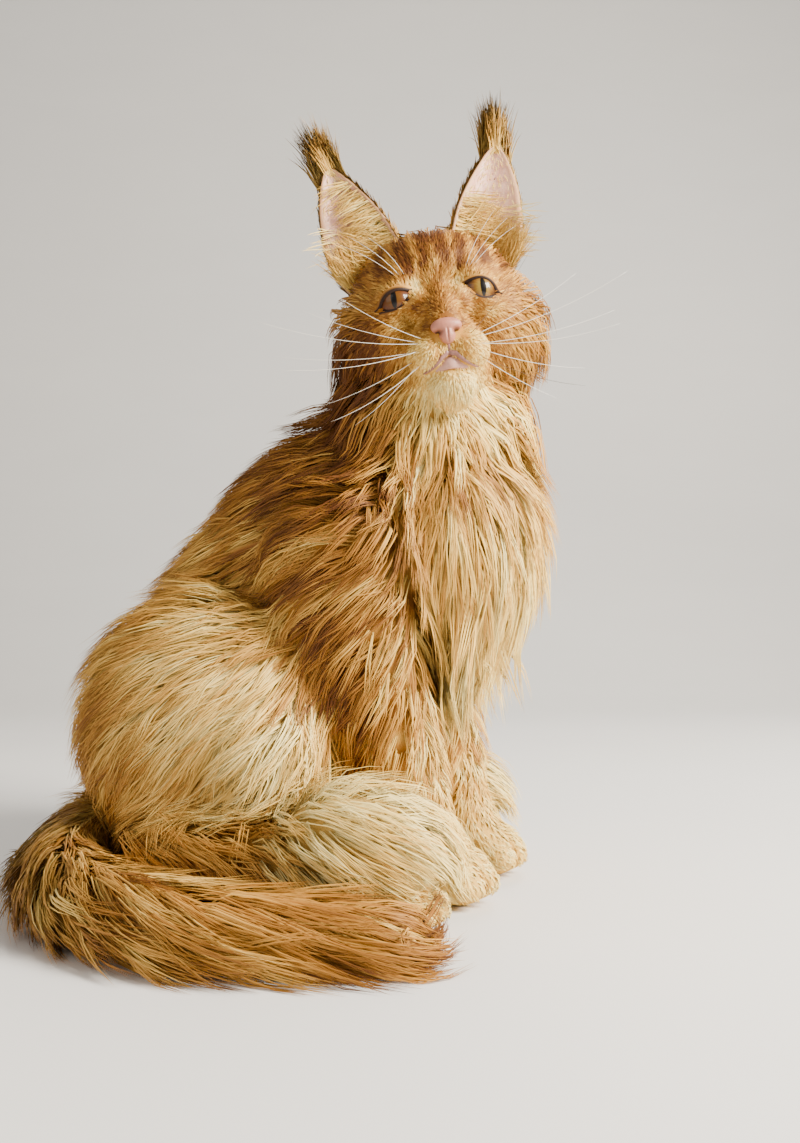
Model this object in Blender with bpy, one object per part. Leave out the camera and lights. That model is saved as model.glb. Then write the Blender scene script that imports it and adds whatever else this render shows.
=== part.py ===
# A long-haired tabby cat sitting upright, life size, as one still model.
# Metres, +Z up. The cat's chest faces -Y and its left side is +X. It sits on the plane Z = 0.
# The head is turned to the cat's right, and the tail lies round its right hind foot.
import math
import random

import bmesh
import bpy
from mathutils import Matrix, Vector
from mathutils.bvhtree import BVHTree

# Driving dimensions.
MM = 0.001
EYE_LEVEL = 0.350
PAW_SPREAD = 0.037
HEAD_TURN = math.radians(70.0)
HEAD_ROLL = math.radians(8.0)
GAP = 0.00042
SHARP_CORNERS = 1.25
CUTTER_TRIANGLES = 180

# How much of the long coat is in the solid core of a node, and the rest is its locks.
CORE_SHARE = 0.5

X_AXIS = Vector((1, 0, 0))
Z_AXIS = Vector((0, 0, 1))
SIDES = {"left": 1, "right": -1}

# The head's own axes: forward out of the nose, to the cat's left, and up.
HEAD_AT = Vector((-0.030, 0.020, EYE_LEVEL))
HEAD_FRONT = Vector((-math.sin(HEAD_TURN), -math.cos(HEAD_TURN), 0))
HEAD_LEFT = (Matrix.Rotation(HEAD_ROLL, 3, HEAD_FRONT) @ Z_AXIS.cross(HEAD_FRONT)).normalized()
HEAD_UP = HEAD_FRONT.cross(HEAD_LEFT)
HEAD_AXES = Matrix((HEAD_FRONT, HEAD_LEFT, HEAD_UP)).transposed()


def on_head(front, left, up):
    """A place on the head, from millimetres along its own axes."""
    return HEAD_AT + HEAD_AXES @ (Vector((front, left, up)) * MM)


def clear_scene():
    for obj in list(bpy.data.objects):
        bpy.data.objects.remove(obj)


def paint(pieces, name, colour, roughness):
    """Gives the pieces a material of their own."""
    material = bpy.data.materials.new(name)
    material.use_nodes = True
    shader = material.node_tree.nodes["Principled BSDF"]
    shader.inputs["Base Color"].default_value = (*colour, 1)
    shader.inputs["Roughness"].default_value = roughness
    shader.inputs["Metallic"].default_value = 0
    material.diffuse_color = (*colour, 1)
    for piece in pieces:
        piece.data.materials.clear()
        piece.data.materials.append(material)
        piece.data.shade_smooth()


def object_of(name, mesh):
    obj = bpy.data.objects.new(name, mesh)
    bpy.context.scene.collection.objects.link(obj)
    return obj


def mesh_of(points, faces):
    mesh = bpy.data.meshes.new("shape")
    mesh.from_pydata([tuple(p) for p in points], [], faces)
    mesh.update()
    return mesh


def in_order(mesh):
    """The mesh with its vertices and faces in the order of their places, because a Boolean gives
    them in an order that varies."""
    order = sorted(range(len(mesh.vertices)), key=lambda i: tuple(mesh.vertices[i].co))
    rank = {old: new for new, old in enumerate(order)}
    faces = []
    for face in mesh.polygons:
        ring = [rank[i] for i in face.vertices]
        first = ring.index(min(ring))
        faces.append(ring[first:] + ring[:first])
    return mesh_of([mesh.vertices[i].co for i in order], sorted(faces))


def facing_out(mesh):
    """The closed mesh with every face turned outwards."""
    shape = bmesh.new()
    shape.from_mesh(mesh)
    bmesh.ops.recalc_face_normals(shape, faces=shape.faces)
    shape.to_mesh(mesh)
    shape.free()
    return mesh


def evaluated_mesh(obj):
    """The object's mesh with its modifiers applied."""
    graph = bpy.context.evaluated_depsgraph_get()
    return bpy.data.meshes.new_from_object(obj.evaluated_get(graph))


def apply_modifiers(obj):
    mesh = evaluated_mesh(obj)
    obj.modifiers.clear()
    obj.data = in_order(mesh)


def joined(meshes):
    """One mesh that holds all of these."""
    shape = bmesh.new()
    for mesh in meshes:
        shape.from_mesh(mesh)
    result = bpy.data.meshes.new("joined")
    shape.to_mesh(result)
    shape.free()
    return result


def largest_piece(mesh):
    """The mesh with only its largest closed surface left."""
    shape = bmesh.new()
    shape.from_mesh(mesh)
    unseen = set(shape.faces)
    pieces = []
    for face in shape.faces:
        if face not in unseen:
            continue
        unseen.remove(face)
        piece = [face]
        for near in piece:
            for edge in near.edges:
                for other in edge.link_faces:
                    if other in unseen:
                        unseen.remove(other)
                        piece.append(other)
        pieces.append(piece)
    pieces.sort(key=lambda piece: sum(face.calc_area() for face in piece))
    for piece in pieces[:-1]:
        bmesh.ops.delete(shape, geom=piece, context="FACES")
    result = bpy.data.meshes.new("largest")
    shape.to_mesh(result)
    shape.free()
    return result


# Basic forms.

def blended(stations, share):
    """A value at a share from 0 to 1 of the way along the stations, on a Catmull-Rom curve."""
    spans = len(stations) - 1
    place = min(max(share, 0.0), 1.0) * spans
    i = min(int(place), spans - 1)
    t = place - i
    before, a, b, after = (stations[max(i - 1, 0)], stations[i], stations[i + 1],
                           stations[min(i + 2, spans)])
    return [0.5 * (2 * q + (r - p) * t + (2 * p - 5 * q + 4 * r - s) * t * t
                   + (3 * q - p - 3 * r + s) * t ** 3) for p, q, r, s in zip(before, a, b, after)]


def tube(stations, across, rings=14, sides=20, start=0.0, end=1.0, round_ends=(1.0, 1.0)):
    """A closed tube through the stations, or through a share of them. A station is (x, y, z, half
    width, half depth), and across is the direction that the width is measured along. A round end
    reaches on by that share of a half ball, and 0 leaves it flat."""
    rows = []
    step = 0.5 / rings
    for ring in range(rings + 1):
        share = start + (end - start) * ring / rings
        x, y, z, wide, deep = blended(stations, share)
        ahead = Vector(blended(stations, share + step)[:3])
        behind = Vector(blended(stations, share - step)[:3])
        rows.append((Vector((x, y, z)), (ahead - behind).normalized(), wide, deep))
    bends = [math.radians(turn) for turn in (28, 55, 85)]
    for last, way, roundness in ((0, -1, round_ends[0]), (-1, 1, round_ends[1])):
        place, along, wide, deep = rows[last]
        cap = [(place + along * (way * roundness * min(wide, deep) * math.sin(bend)), along,
                wide * math.cos(bend), deep * math.cos(bend)) for bend in bends if roundness]
        rows = rows + cap if way > 0 else cap[::-1] + rows
    points = []
    for place, along, wide, deep in rows:
        width_way = (across - along * across.dot(along)).normalized()
        depth_way = along.cross(width_way)
        for side in range(sides):
            angle = 2 * math.pi * side / sides
            points.append(place + width_way * (wide * math.cos(angle))
                          + depth_way * (deep * math.sin(angle)))
    faces = []
    for ring in range(len(rows) - 1):
        for side in range(sides):
            a = ring * sides + side
            b = ring * sides + (side + 1) % sides
            faces.append((a, b, b + sides, a + sides))
    faces.append(tuple(reversed(range(sides))))
    faces.append(tuple(range(len(points) - sides, len(points))))
    return mesh_of(points, faces)


def ball(centre, radii, axes=None, segments=20, rings=12):
    """An ellipsoid with its radii along the columns of axes."""
    shape = bmesh.new()
    bmesh.ops.create_uvsphere(shape, u_segments=segments, v_segments=rings, radius=1)
    scale = Matrix.Diagonal(Vector(radii))
    turn = (axes or Matrix.Identity(3)) @ scale
    for vertex in shape.verts:
        vertex.co = Vector(centre) + turn @ vertex.co
    mesh = bpy.data.meshes.new("ball")
    shape.to_mesh(mesh)
    shape.free()
    return mesh


def block(low, high):
    shape = bmesh.new()
    bmesh.ops.create_cube(shape, size=1)
    low, high = Vector(low), Vector(high)
    for vertex in shape.verts:
        vertex.co = Vector(((low[i] + high[i]) / 2 + vertex.co[i] * (high[i] - low[i])
                            for i in range(3)))
    mesh = bpy.data.meshes.new("block")
    shape.to_mesh(mesh)
    shape.free()
    return mesh


def thinned(obj, triangles):
    """Leaves the object about that many triangles."""
    thin = obj.modifiers.new("Thin", "DECIMATE")
    thin.ratio = min(1.0, triangles / (2 * len(obj.data.polygons)))
    thin.use_collapse_triangulate = True
    apply_modifiers(obj)


def fused(name, meshes, voxel, smoothing, triangles):
    """One smooth body made of overlapping forms, with about that many triangles."""
    obj = object_of(name, joined(meshes))
    remesh = obj.modifiers.new("Fuse", "REMESH")
    remesh.mode = "VOXEL"
    remesh.voxel_size = voxel
    smooth = obj.modifiers.new("Soften", "SMOOTH")
    smooth.factor = 0.5
    smooth.iterations = smoothing
    apply_modifiers(obj)
    thinned(obj, triangles)
    obj.data = largest_piece(obj.data)
    return obj


def swollen(mesh, by=GAP):
    """A copy of the mesh with its surface moved outwards."""
    copy = mesh.copy()
    moved = [vertex.co + vertex.normal * by for vertex in copy.vertices]
    for vertex, place in zip(copy.vertices, moved):
        vertex.co = place
    return copy


def simplified(mesh, triangles):
    """A swollen copy of the mesh with fewer triangles, which costs less to cut with. It is swollen
    enough that the full mesh stays the gap inside it."""
    obj = object_of("simple", mesh.copy())
    obj.modifiers.new("Split", "TRIANGULATE")
    apply_modifiers(obj)
    thin = obj.modifiers.new("Thin", "DECIMATE")
    thin.ratio = min(1.0, triangles / len(obj.data.polygons))
    apply_modifiers(obj)
    surface = BVHTree.FromPolygons([vertex.co for vertex in obj.data.vertices],
                                   [face.vertices for face in obj.data.polygons])
    outside = 0.0
    for vertex in mesh.vertices:
        near, normal, _, _ = surface.find_nearest(vertex.co)
        outside = max(outside, (vertex.co - near).dot(normal))
    result = swollen(obj.data, SHARP_CORNERS * (GAP + outside))
    bpy.data.objects.remove(obj)
    return result


def carve(obj, cutters, solver="EXACT"):
    """Cuts these meshes out of the object and keeps its largest closed surface. A swollen cutter can
    cross itself in its creases, where EXACT loses the object, so those cuts are MANIFOLD ones."""
    helpers = []
    for mesh in cutters:
        helper = object_of("cutter", mesh)
        helper.hide_render = True
        helpers.append(helper)
        cut = obj.modifiers.new("Cut", "BOOLEAN")
        cut.operation = "DIFFERENCE"
        cut.solver = solver
        cut.object = helper
    apply_modifiers(obj)
    for helper in helpers:
        bpy.data.objects.remove(helper)
    obj.data = largest_piece(obj.data)


def clear_of(obj, *others):
    """Leaves the gap between touching pieces by cutting the others, a little swollen, out of obj."""
    carve(obj, [simplified(other.data, CUTTER_TRIANGLES) for other in others], "MANIFOLD")


def stand_on_floor(obj):
    """Cuts a small flat where the piece rests on the floor."""
    carve(obj, [block((-1, -1, -0.2), (1, 1, 0))])


# Head. Sizes are millimetres along the head's own axes.

SHORT_COAT = 3.0
EYE_AT = (30.0, 23.5, 1.0)
EYE_RADIUS = 11.0
LID_THICK = 1.5
EYE_LONG, EYE_HIGH = 9.8, 5.8
EYE_SLANT = math.radians(20)
GAZE_OUT = math.radians(12)
NOSE_AT = (59.0, 0.0, -25.0)
MOUTH_GROOVE = 1.0


def head_ball(at, radii, coat=SHORT_COAT):
    return ball(on_head(*at), [(r + coat) * MM for r in radii], HEAD_AXES)


def paired(at):
    """The same place on both sides of the head."""
    return [(at[0], side * at[1], at[2]) for side in SIDES.values()]


def head_forms():
    forms = [
        head_ball((-6, 0, 14), (43, 46, 34), 4),
        head_ball((34, 0, -30), (26, 21, 18), 2),
        head_ball((43, 0, -52), (13, 13, 11), 4),
        head_ball((20, 0, -41), (32, 24, 17), 4),
    ]
    for at in paired((22, 18, 13)):
        forms.append(head_ball(at, (15, 14, 12), 2))
    for at in paired((4, 27, -13)):
        forms.append(head_ball(at, (33, 28, 31), 7))
    for at in paired((47, 10.5, -36)):
        forms.append(head_ball(at, (14, 12.5, 11), 1.5))
    for at in paired(EYE_AT):
        forms.append(head_ball(at, (EYE_RADIUS, EYE_RADIUS, EYE_RADIUS), LID_THICK))
    bridge = [(26, 0, 6, 11, 9), (40, 0, -6, 10.5, 9), (54, 0, -20, 9, 7.5)]
    forms.append(tube([(*on_head(*row[:3]), row[3] * MM, row[4] * MM) for row in bridge], HEAD_LEFT))
    return forms


def almond(side):
    """The cutter of one eye's opening: two arcs that meet at the corners, run out along the gaze."""
    gaze = (HEAD_FRONT * math.cos(GAZE_OUT) + HEAD_LEFT * side * math.sin(GAZE_OUT)).normalized()
    along = (HEAD_LEFT * side - gaze * gaze.dot(HEAD_LEFT * side)).normalized()
    along = Matrix.Rotation(-side * EYE_SLANT, 3, gaze) @ along
    up = gaze.cross(along) * side
    centre = on_head(EYE_AT[0], side * EYE_AT[1], EYE_AT[2])
    steps = 7
    rim = []
    for half in (1, -1):
        for i in range(steps):
            x = half * (-1 + 2 * i / steps)
            rim.append((x * EYE_LONG, half * (1 - x * x) * EYE_HIGH))
    near, far = 3 * MM, 20 * MM
    points = [centre + along * (x * MM) + up * (y * MM) + gaze * reach
              for reach, grow in ((near, 1), (far, 1)) for x, y in rim]
    count = len(rim)
    faces = [tuple(range(count)), tuple(reversed(range(count, 2 * count)))]
    for i in range(count):
        j = (i + 1) % count
        faces.append((i, i + count, j + count, j))
    return facing_out(mesh_of(points, faces))


def groove(places, surface, radius):
    """A thin tube along the surface nearest to these places, to be cut as a line in the skin."""
    path = []
    for place in places:
        found, normal, _, _ = surface.find_nearest(on_head(*place))
        path.append(found - normal * (0.25 * radius))
    stations = [(*p, radius, radius) for p in path]
    across = HEAD_UP if abs((path[-1] - path[0]).normalized().dot(HEAD_UP)) < 0.8 else HEAD_LEFT
    return tube(stations, across, rings=3 * len(path), sides=6)


def mouth_cutter(surface):
    """The line of the mouth on both sides, and the groove from the nose down to it, in one piece."""
    cutters = [groove([(64, 0, -30), (64, 0, -37), (60, 0, -44)], surface, 0.8 * MM)]
    for side in SIDES.values():
        line = [(60, 0, -43), (56, side * 8, -47), (47, side * 17, -52), (34, side * 24, -53)]
        cutters.append(groove(line, surface, MOUTH_GROOVE * MM))
    mouth = fused("mouth", cutters, 0.5 * MM, 1, 180)
    mesh = mouth.data.copy()
    bpy.data.objects.remove(mouth)
    return mesh


def build_nose():
    """The bare nose pad: wide on top and narrow below, with a nostril cut into each side."""
    x, _, z = NOSE_AT
    forms = [ball(on_head(x, 0, z + 1), (5.2 * MM, 8.6 * MM, 4.6 * MM), HEAD_AXES),
             ball(on_head(x + 0.4, 0, z - 3.5), (4.6 * MM, 4.4 * MM, 5.4 * MM), HEAD_AXES)]
    nose = fused("nose", forms, 0.8 * MM, 3, 170)
    nostrils = [ball(on_head(x + 3.6, side * 5.6, z - 2.6), (2.6 * MM, 2.3 * MM, 1.3 * MM),
                     HEAD_AXES @ Matrix.Rotation(side * math.radians(-28), 3, "X"), 8, 5)
                for side in SIDES.values()]
    carve(nose, nostrils)
    return nose


def build_eye(side_name):
    side = SIDES[side_name]
    centre = on_head(EYE_AT[0], side * EYE_AT[1], EYE_AT[2])
    return object_of(f"eye_{side_name}", ball(centre, [EYE_RADIUS * MM] * 3, HEAD_AXES, 12, 7))


# Ears. An ear is a thin cup between an inner edge and an outer edge that meet at its tip.

EAR_THICK = 2.6
EAR_DEEP = 17.0
EAR_OPEN = math.radians(32)
INNER_EDGE = [(0, 17, 50), (-3, 24, 68), (-7, 35, 86), (-12, 50, 105)]
OUTER_EDGE = [(-8, 57, 26), (-8, 62, 48), (-9, 62, 76), (-12, 56, 105)]


def ear_surface(side, across, up):
    """A point of the ear's middle sheet, across from -1 at the inner edge to 1 at the outer, up 0 to 1."""
    inner = Vector(blended(INNER_EDGE, up))
    outer = Vector(blended(OUTER_EDGE, up))
    middle = inner.lerp(outer, (1 + across) / 2)
    back = Vector((-math.cos(EAR_OPEN), -math.sin(EAR_OPEN), 0))
    depth = EAR_DEEP * (1 - up) ** 0.7 * (1 - across * across)
    place = middle + back * depth
    return on_head(place.x, side * place.y, place.z)


def build_ear(side_name, columns=7, rows=8):
    side = SIDES[side_name]
    points = [ear_surface(side, -1 + 2 * c / (columns - 1), -0.12 + 1.12 * r / (rows - 1))
              for r in range(rows) for c in range(columns)]
    faces = []
    for r in range(rows - 1):
        for c in range(columns - 1):
            a = r * columns + c
            corners = (a, a + 1, a + 1 + columns, a + columns)
            faces.append(corners if side > 0 else corners[::-1])
    ear = object_of(f"ear_{side_name}", mesh_of(points, faces))
    wall = ear.modifiers.new("Wall", "SOLIDIFY")
    wall.thickness = EAR_THICK * MM
    wall.offset = 0
    wall.use_even_offset = False
    split = ear.modifiers.new("Split", "TRIANGULATE")
    split.quad_method = "FIXED"
    apply_modifiers(ear)
    facing_out(ear.data)
    return ear


def build_head(eyes, nose):
    """The head, and its plain form before the cuts, which the pieces around it are cut by."""
    head = fused("head", head_forms(), 2.2 * MM, 5, 1180)
    whole = head.data.copy()
    surface = BVHTree.FromPolygons([v.co for v in head.data.vertices],
                                   [p.vertices for p in head.data.polygons])
    carve(head, [mouth_cutter(surface)])
    carve(head, [almond(side) for side in SIDES.values()])
    carve(head, [swollen(piece.data) for piece in (*eyes, nose)], "MANIFOLD")
    return head, whole


# Neck, chest and body. A station is (x, y, z, half width, half depth) of the skin, with the depth
# of the coat over it last.

NECK = [(-0.004, 0.050, 0.224, 0.050, 0.058, 0.014), (-0.009, 0.040, 0.255, 0.047, 0.050, 0.028),
        (-0.014, 0.030, 0.288, 0.042, 0.044, 0.034), (-0.014, 0.030, 0.318, 0.038, 0.040, 0.032)]
BODY = [(0, 0.206, 0.042, 0.060, 0.050, 0.020), (0, 0.192, 0.088, 0.066, 0.068, 0.020),
        (0, 0.160, 0.126, 0.066, 0.070, 0.020), (0, 0.130, 0.165, 0.064, 0.072, 0.020),
        (0, 0.098, 0.202, 0.062, 0.076, 0.020), (-0.002, 0.070, 0.234, 0.056, 0.068, 0.020),
        (-0.004, 0.056, 0.258, 0.046, 0.054, 0.020)]
CHEST_AT = (-0.010, 0.022, 0.212)
CHEST_RADII = (0.050, 0.044, 0.056)
CHEST_COAT = 0.028
FEATHERED_ABOVE_Z = 0.105
BARE_FOOT_Z = 0.030


def coated(stations, share=1.0):
    """The stations with that share of their coat on top of the skin."""
    return [(x, y, z, wide + share * coat, deep + share * coat)
            for x, y, z, wide, deep, coat in stations]


def build_neck():
    forms = [tube(coated(NECK, CORE_SHARE), X_AXIS, round_ends=(0.3, 0.4))]
    return fused("neck", forms, 0.0035, 3, 380)


def build_chest():
    coat = CORE_SHARE * CHEST_COAT
    return fused("chest", [ball(CHEST_AT, [r + coat for r in CHEST_RADII])], 0.004, 2, 360)


def build_torso():
    forms = [tube(coated(BODY, CORE_SHARE), X_AXIS, round_ends=(0.8, 0.5))]
    torso = fused("torso", forms, 0.0045, 5, 380)
    stand_on_floor(torso)
    return torso


# Legs.

LEG = [(0.056, 0.072, 0.206, 0.030, 0.044, 0.010), (0.056, 0.070, 0.172, 0.030, 0.044, 0.010),
       (0.051, 0.064, 0.132, 0.027, 0.041, 0.010), (0.044, 0.046, 0.086, 0.023, 0.030, 0.005),
       (0.038, 0.028, 0.042, 0.020, 0.023, 0.0), (PAW_SPREAD, 0.016, 0.022, 0.020, 0.022, 0.0)]
PAW_AT = (PAW_SPREAD, 0.006, 0.016)
FOOT = [(0.088, 0.150, 0.026, 0.022, 0.026, 0.0), (0.092, 0.100, 0.024, 0.023, 0.026, 0.0),
        (0.096, 0.045, 0.024, 0.024, 0.026, 0.0), (0.097, 0.005, 0.019, 0.022, 0.020, 0.0)]
HIND_TOES_AT = (0.097, -0.008, 0.012)
THIGH_AT = (0.062, 0.152, 0.100)
THIGH_RADII = (0.040, 0.083, 0.076)
KNEE_AT = (0.084, 0.088, 0.086)
KNEE_RADII = (0.022, 0.026, 0.032)
HAUNCH_COAT = 0.020
SHIN_AT = (0.099, 0.024, 0.036)
SHIN_RADII = (0.021, 0.048, 0.034)
SHIN_COAT = 0.012

# The right hind foot is a little in front of the left one.
HIND_STEP = {"left": 0.042, "right": 0.020}


def on_side(side, stations, back=0.0):
    """Stations of the left leg, or the same ones on the right, set back by a distance."""
    return [(side * row[0], row[1] + back, *row[2:]) for row in stations]


def toes(at, count, spread, radius, reach):
    """Round toes side by side at the front of a paw."""
    made = []
    for i in range(count):
        share = (i - (count - 1) / 2) / ((count - 1) / 2)
        centre = (at[0] + spread * share, at[1] - reach * (1 - 0.35 * share * share), at[2])
        made.append(ball(centre, (radius, radius * 1.35, radius)))
    return made


def build_foreleg(side_name):
    side = SIDES[side_name]
    forms = [tube(coated(on_side(side, LEG), CORE_SHARE), X_AXIS, rings=18)]
    paw = Vector(on_side(side, [PAW_AT])[0])
    forms.append(ball(paw, (0.021, 0.024, 0.018)))
    forms += toes(paw + Vector((0, -0.003, -0.003)), 4, 0.0145, 0.0085, 0.012)
    foreleg = fused(f"foreleg_{side_name}", forms, 0.003, 3, 450)
    stand_on_floor(foreleg)
    return foreleg


def grown(centre, radii, coat):
    """A ball with a coat."""
    return ball(centre, [radius + coat for radius in radii])


def build_thigh(side_name):
    side = SIDES[side_name]
    thigh, knee = on_side(side, [THIGH_AT])[0], on_side(side, [KNEE_AT], HIND_STEP[side_name])[0]
    forms = [grown(thigh, THIGH_RADII, CORE_SHARE * HAUNCH_COAT),
             grown(knee, KNEE_RADII, CORE_SHARE * HAUNCH_COAT)]
    haunch = fused(f"thigh_{side_name}", forms, 0.004, 4, 380)
    stand_on_floor(haunch)
    return haunch


def build_hindfoot(side_name):
    side = SIDES[side_name]
    step = HIND_STEP[side_name]
    shin, toe = on_side(side, [SHIN_AT, HIND_TOES_AT], step)
    forms = [grown(shin, SHIN_RADII, CORE_SHARE * SHIN_COAT),
             tube(coated(on_side(side, FOOT, step)), X_AXIS)]
    forms += toes(Vector(toe), 4, 0.014, 0.0085, 0.010)
    foot = fused(f"hindfoot_{side_name}", forms, 0.0035, 4, 420)
    stand_on_floor(foot)
    return foot


# Tail. It leaves the rump, bends on the floor at the cat's right and ends beside the forepaw.

TAIL_PATH = [(0.000, 0.226, 0.034), (-0.048, 0.247, 0.027), (-0.105, 0.225, 0.021),
             (-0.150, 0.176, 0.019), (-0.171, 0.122, 0.018), (-0.169, 0.078, 0.017),
             (-0.157, 0.040, 0.015), (-0.146, 0.008, 0.013)]
TAIL_NAMES = ("tail_base", "tail_middle", "tail_tip")
TAIL_SKIN = 0.013
TAIL_COAT = 0.044
TAIL_FLAT = 0.34
TAIL_END_GAP = 0.0014


def tail_station(share):
    """The tail's skin there, with a coat that lies flatter on the floor than it spreads sideways."""
    x, y, z = blended(TAIL_PATH, share)
    skin = TAIL_SKIN * (1 - 0.35 * share)
    coat = CORE_SHARE * TAIL_COAT * math.sin(math.pi * (0.12 + 0.68 * share))
    return (x, y, max(z, (skin + coat * TAIL_FLAT) * 0.9), skin + coat * TAIL_FLAT, skin + coat)


def build_tail():
    """The tail in three lengths, with flat faces where they meet."""
    stations = [tail_station(i / 20) for i in range(21)]
    pieces = []
    last = len(TAIL_NAMES) - 1
    for i, name in enumerate(TAIL_NAMES):
        start = (i + TAIL_END_GAP if i else 0) / len(TAIL_NAMES)
        end = (i + 1 - TAIL_END_GAP if i < last else len(TAIL_NAMES)) / len(TAIL_NAMES)
        ends = (0.6 if i == 0 else 0, 0.8 if i == last else 0)
        piece = object_of(name, tube(stations, Z_AXIS, 8, 12, start, end, ends))
        stand_on_floor(piece)
        pieces.append(piece)
    return pieces


# The lie of the coat: which way the hair points at a place on the cat.

THROAT_AT = on_head(22, 0, -30)


def tail_lie(place):
    """Along the tail towards its tip, and spread away from its middle."""
    shares = [i / 60 for i in range(61)]
    share = min(shares, key=lambda t: (Vector(blended(TAIL_PATH, t)) - place).length)
    middle = Vector(blended(TAIL_PATH, share))
    ahead = Vector(blended(TAIL_PATH, min(share + 0.03, 1))) - Vector(blended(TAIL_PATH, share - 0.03))
    spread = place - middle
    spread.z *= 0.3
    return ahead.normalized() + 0.9 * spread.normalized() + Vector((0, 0, -0.15))


def ruff_lie(place):
    """Out from under the chin and down."""
    return (place - THROAT_AT).normalized() + Vector((0, 0, -0.45))


def body_lie(place):
    """Back along the flanks, and steeper the lower it is."""
    steep = min(max((0.26 - place.z) / 0.16, 0), 1)
    return Vector((0, 1, -0.55 - 0.9 * steep))


def haunch_lie(place):
    """Back over the top of the haunch, and steeply down its lower half."""
    steep = min(max((0.17 - place.z) / 0.10, 0), 1)
    return Vector((0, 0.75, -0.5 - 0.7 * steep))


def foot_lie(place):
    """Over the foot and forwards."""
    return Vector((0, -1, -0.42))


def head_lie(place):
    """Away from the nose, over the cheeks to the ruff."""
    return (place - on_head(62, 0, -14)).normalized() - 0.3 * HEAD_FRONT


def leg_lie(place):
    """Back and down over the shoulder, and down the leg."""
    steep = min(max((0.20 - place.z) / 0.10, 0), 1)
    return Vector((0, 0.8 - 0.3 * steep, -0.6 - 0.5 * steep))


# Locks. A lock is a flat three-sided blade that starts inside the core, lies along the coat and
# rises from it towards its tip. The locks of a region have the distance between their roots, and
# the length, width, thickness and rise of one lock.

CHEEK_LOCKS = (0.022, 0.040, 0.018, 0.004, 0.005)
NECK_LOCKS = (0.0285, 0.078, 0.025, 0.0045, 0.014)
CHEST_LOCKS = (0.028, 0.084, 0.022, 0.0045, 0.013)
FORELEG_LOCKS = (0.030, 0.052, 0.022, 0.004, 0.006)
TORSO_LOCKS = (0.038, 0.076, 0.030, 0.004, 0.010)
THIGH_LOCKS = (0.033, 0.074, 0.027, 0.004, 0.010)
TAIL_LOCKS = (0.026, 0.086, 0.021, 0.004, 0.010)
FOOT_LOCKS = (0.029, 0.054, 0.021, 0.0035, 0.006)
LOCK_SEEDS = {"thigh_right": 2, "tail_middle": 2, "tail_tip": 2}

LOCK_SHARES = (0.0, 0.375, 0.75)
LOCK_WIDTHS = (0.75, 1.0, 0.58)
LOCK_HEIGHTS = (0.8, 1.0, 0.6)
LOCK_STEPS = 8
LIFT = 0.002
RISE_CURVE = 0.75
TURN_RATE = 0.35
FLATTEN_RATE = 0.6
ROOT_SINK = 0.0045
FLOOR_CLEARANCE = 0.0012
STIFFNESS = 0.5
BETWEEN_NODES = 0.0007
TOUCHING = 0.00002
LOCK_TRIES = 4
TUFT_SINK = 0.14
SHORTER = 0.14
HIGHER = 0.0025
SOLE_Z = 0.008
UNDERSIDE_Z = 0.040
BODY_VOXEL = 0.004
BODY_TRIANGLES = 60000


def surface_of(meshes):
    whole = joined(meshes)
    return BVHTree.FromPolygons([vertex.co for vertex in whole.vertices],
                                [face.vertices for face in whole.polygons])


def even_roots(mesh, spacing, wanted, rng):
    """Places spread evenly over the wanted parts of a surface, with their normals."""
    mesh.calc_loop_triangles()
    triangles = [[mesh.vertices[i].co for i in triangle.vertices] for triangle in mesh.loop_triangles]
    areas = [((b - a).cross(c - a)).length / 2 for a, b, c in triangles]
    tries = int(12 * sum(areas) / spacing ** 2)
    roots = []
    for a, b, c in rng.choices(triangles, weights=areas, k=tries):
        u, v = rng.random(), rng.random()
        if u + v > 1:
            u, v = 1 - u, 1 - v
        place = a + (b - a) * u + (c - a) * v
        normal = (b - a).cross(c - a).normalized()
        if all((place - other).length > spacing for other, _ in roots) and wanted(place, normal):
            roots.append((place, normal))
    return roots


def height_over(body, place):
    """How high a place is over the surface, and the way straight out of the surface there. The way
    is taken from the nearest point, because at an edge either of two faces can be the nearest."""
    near, normal, _, _ = body.find_nearest(place)
    away = place - near
    height = away.length
    if height < TOUCHING:
        return 0.0, normal
    if away.dot(normal) < 0:
        return -height, -away / height
    return height, away / height


def lock_path(body, root, normal, lie, length, rise):
    """Where the under side of a lock runs, and which way is out, from its sunk root to its tip."""
    path = [root - normal * ROOT_SINK]
    outs = [normal]
    place = root
    heading = lie(root)
    heading = (heading - normal * heading.dot(normal)).normalized()
    for step in range(1, LOCK_STEPS + 1):
        place = place + heading * (length / LOCK_STEPS)
        height, out = height_over(body, place)
        target = LIFT + rise * (step / LOCK_STEPS) ** RISE_CURVE
        place = place + out * ((target - height) * (1 if height < target else 1 - STIFFNESS))
        place.z = max(place.z, FLOOR_CLEARANCE)
        turn = lie(place).normalized()
        turn -= out * turn.dot(out)
        heading = heading + TURN_RATE * turn
        heading = (heading - out * (heading.dot(out) * FLATTEN_RATE)).normalized()
        path.append(place.copy())
        outs.append(out)
    return path, outs


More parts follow.
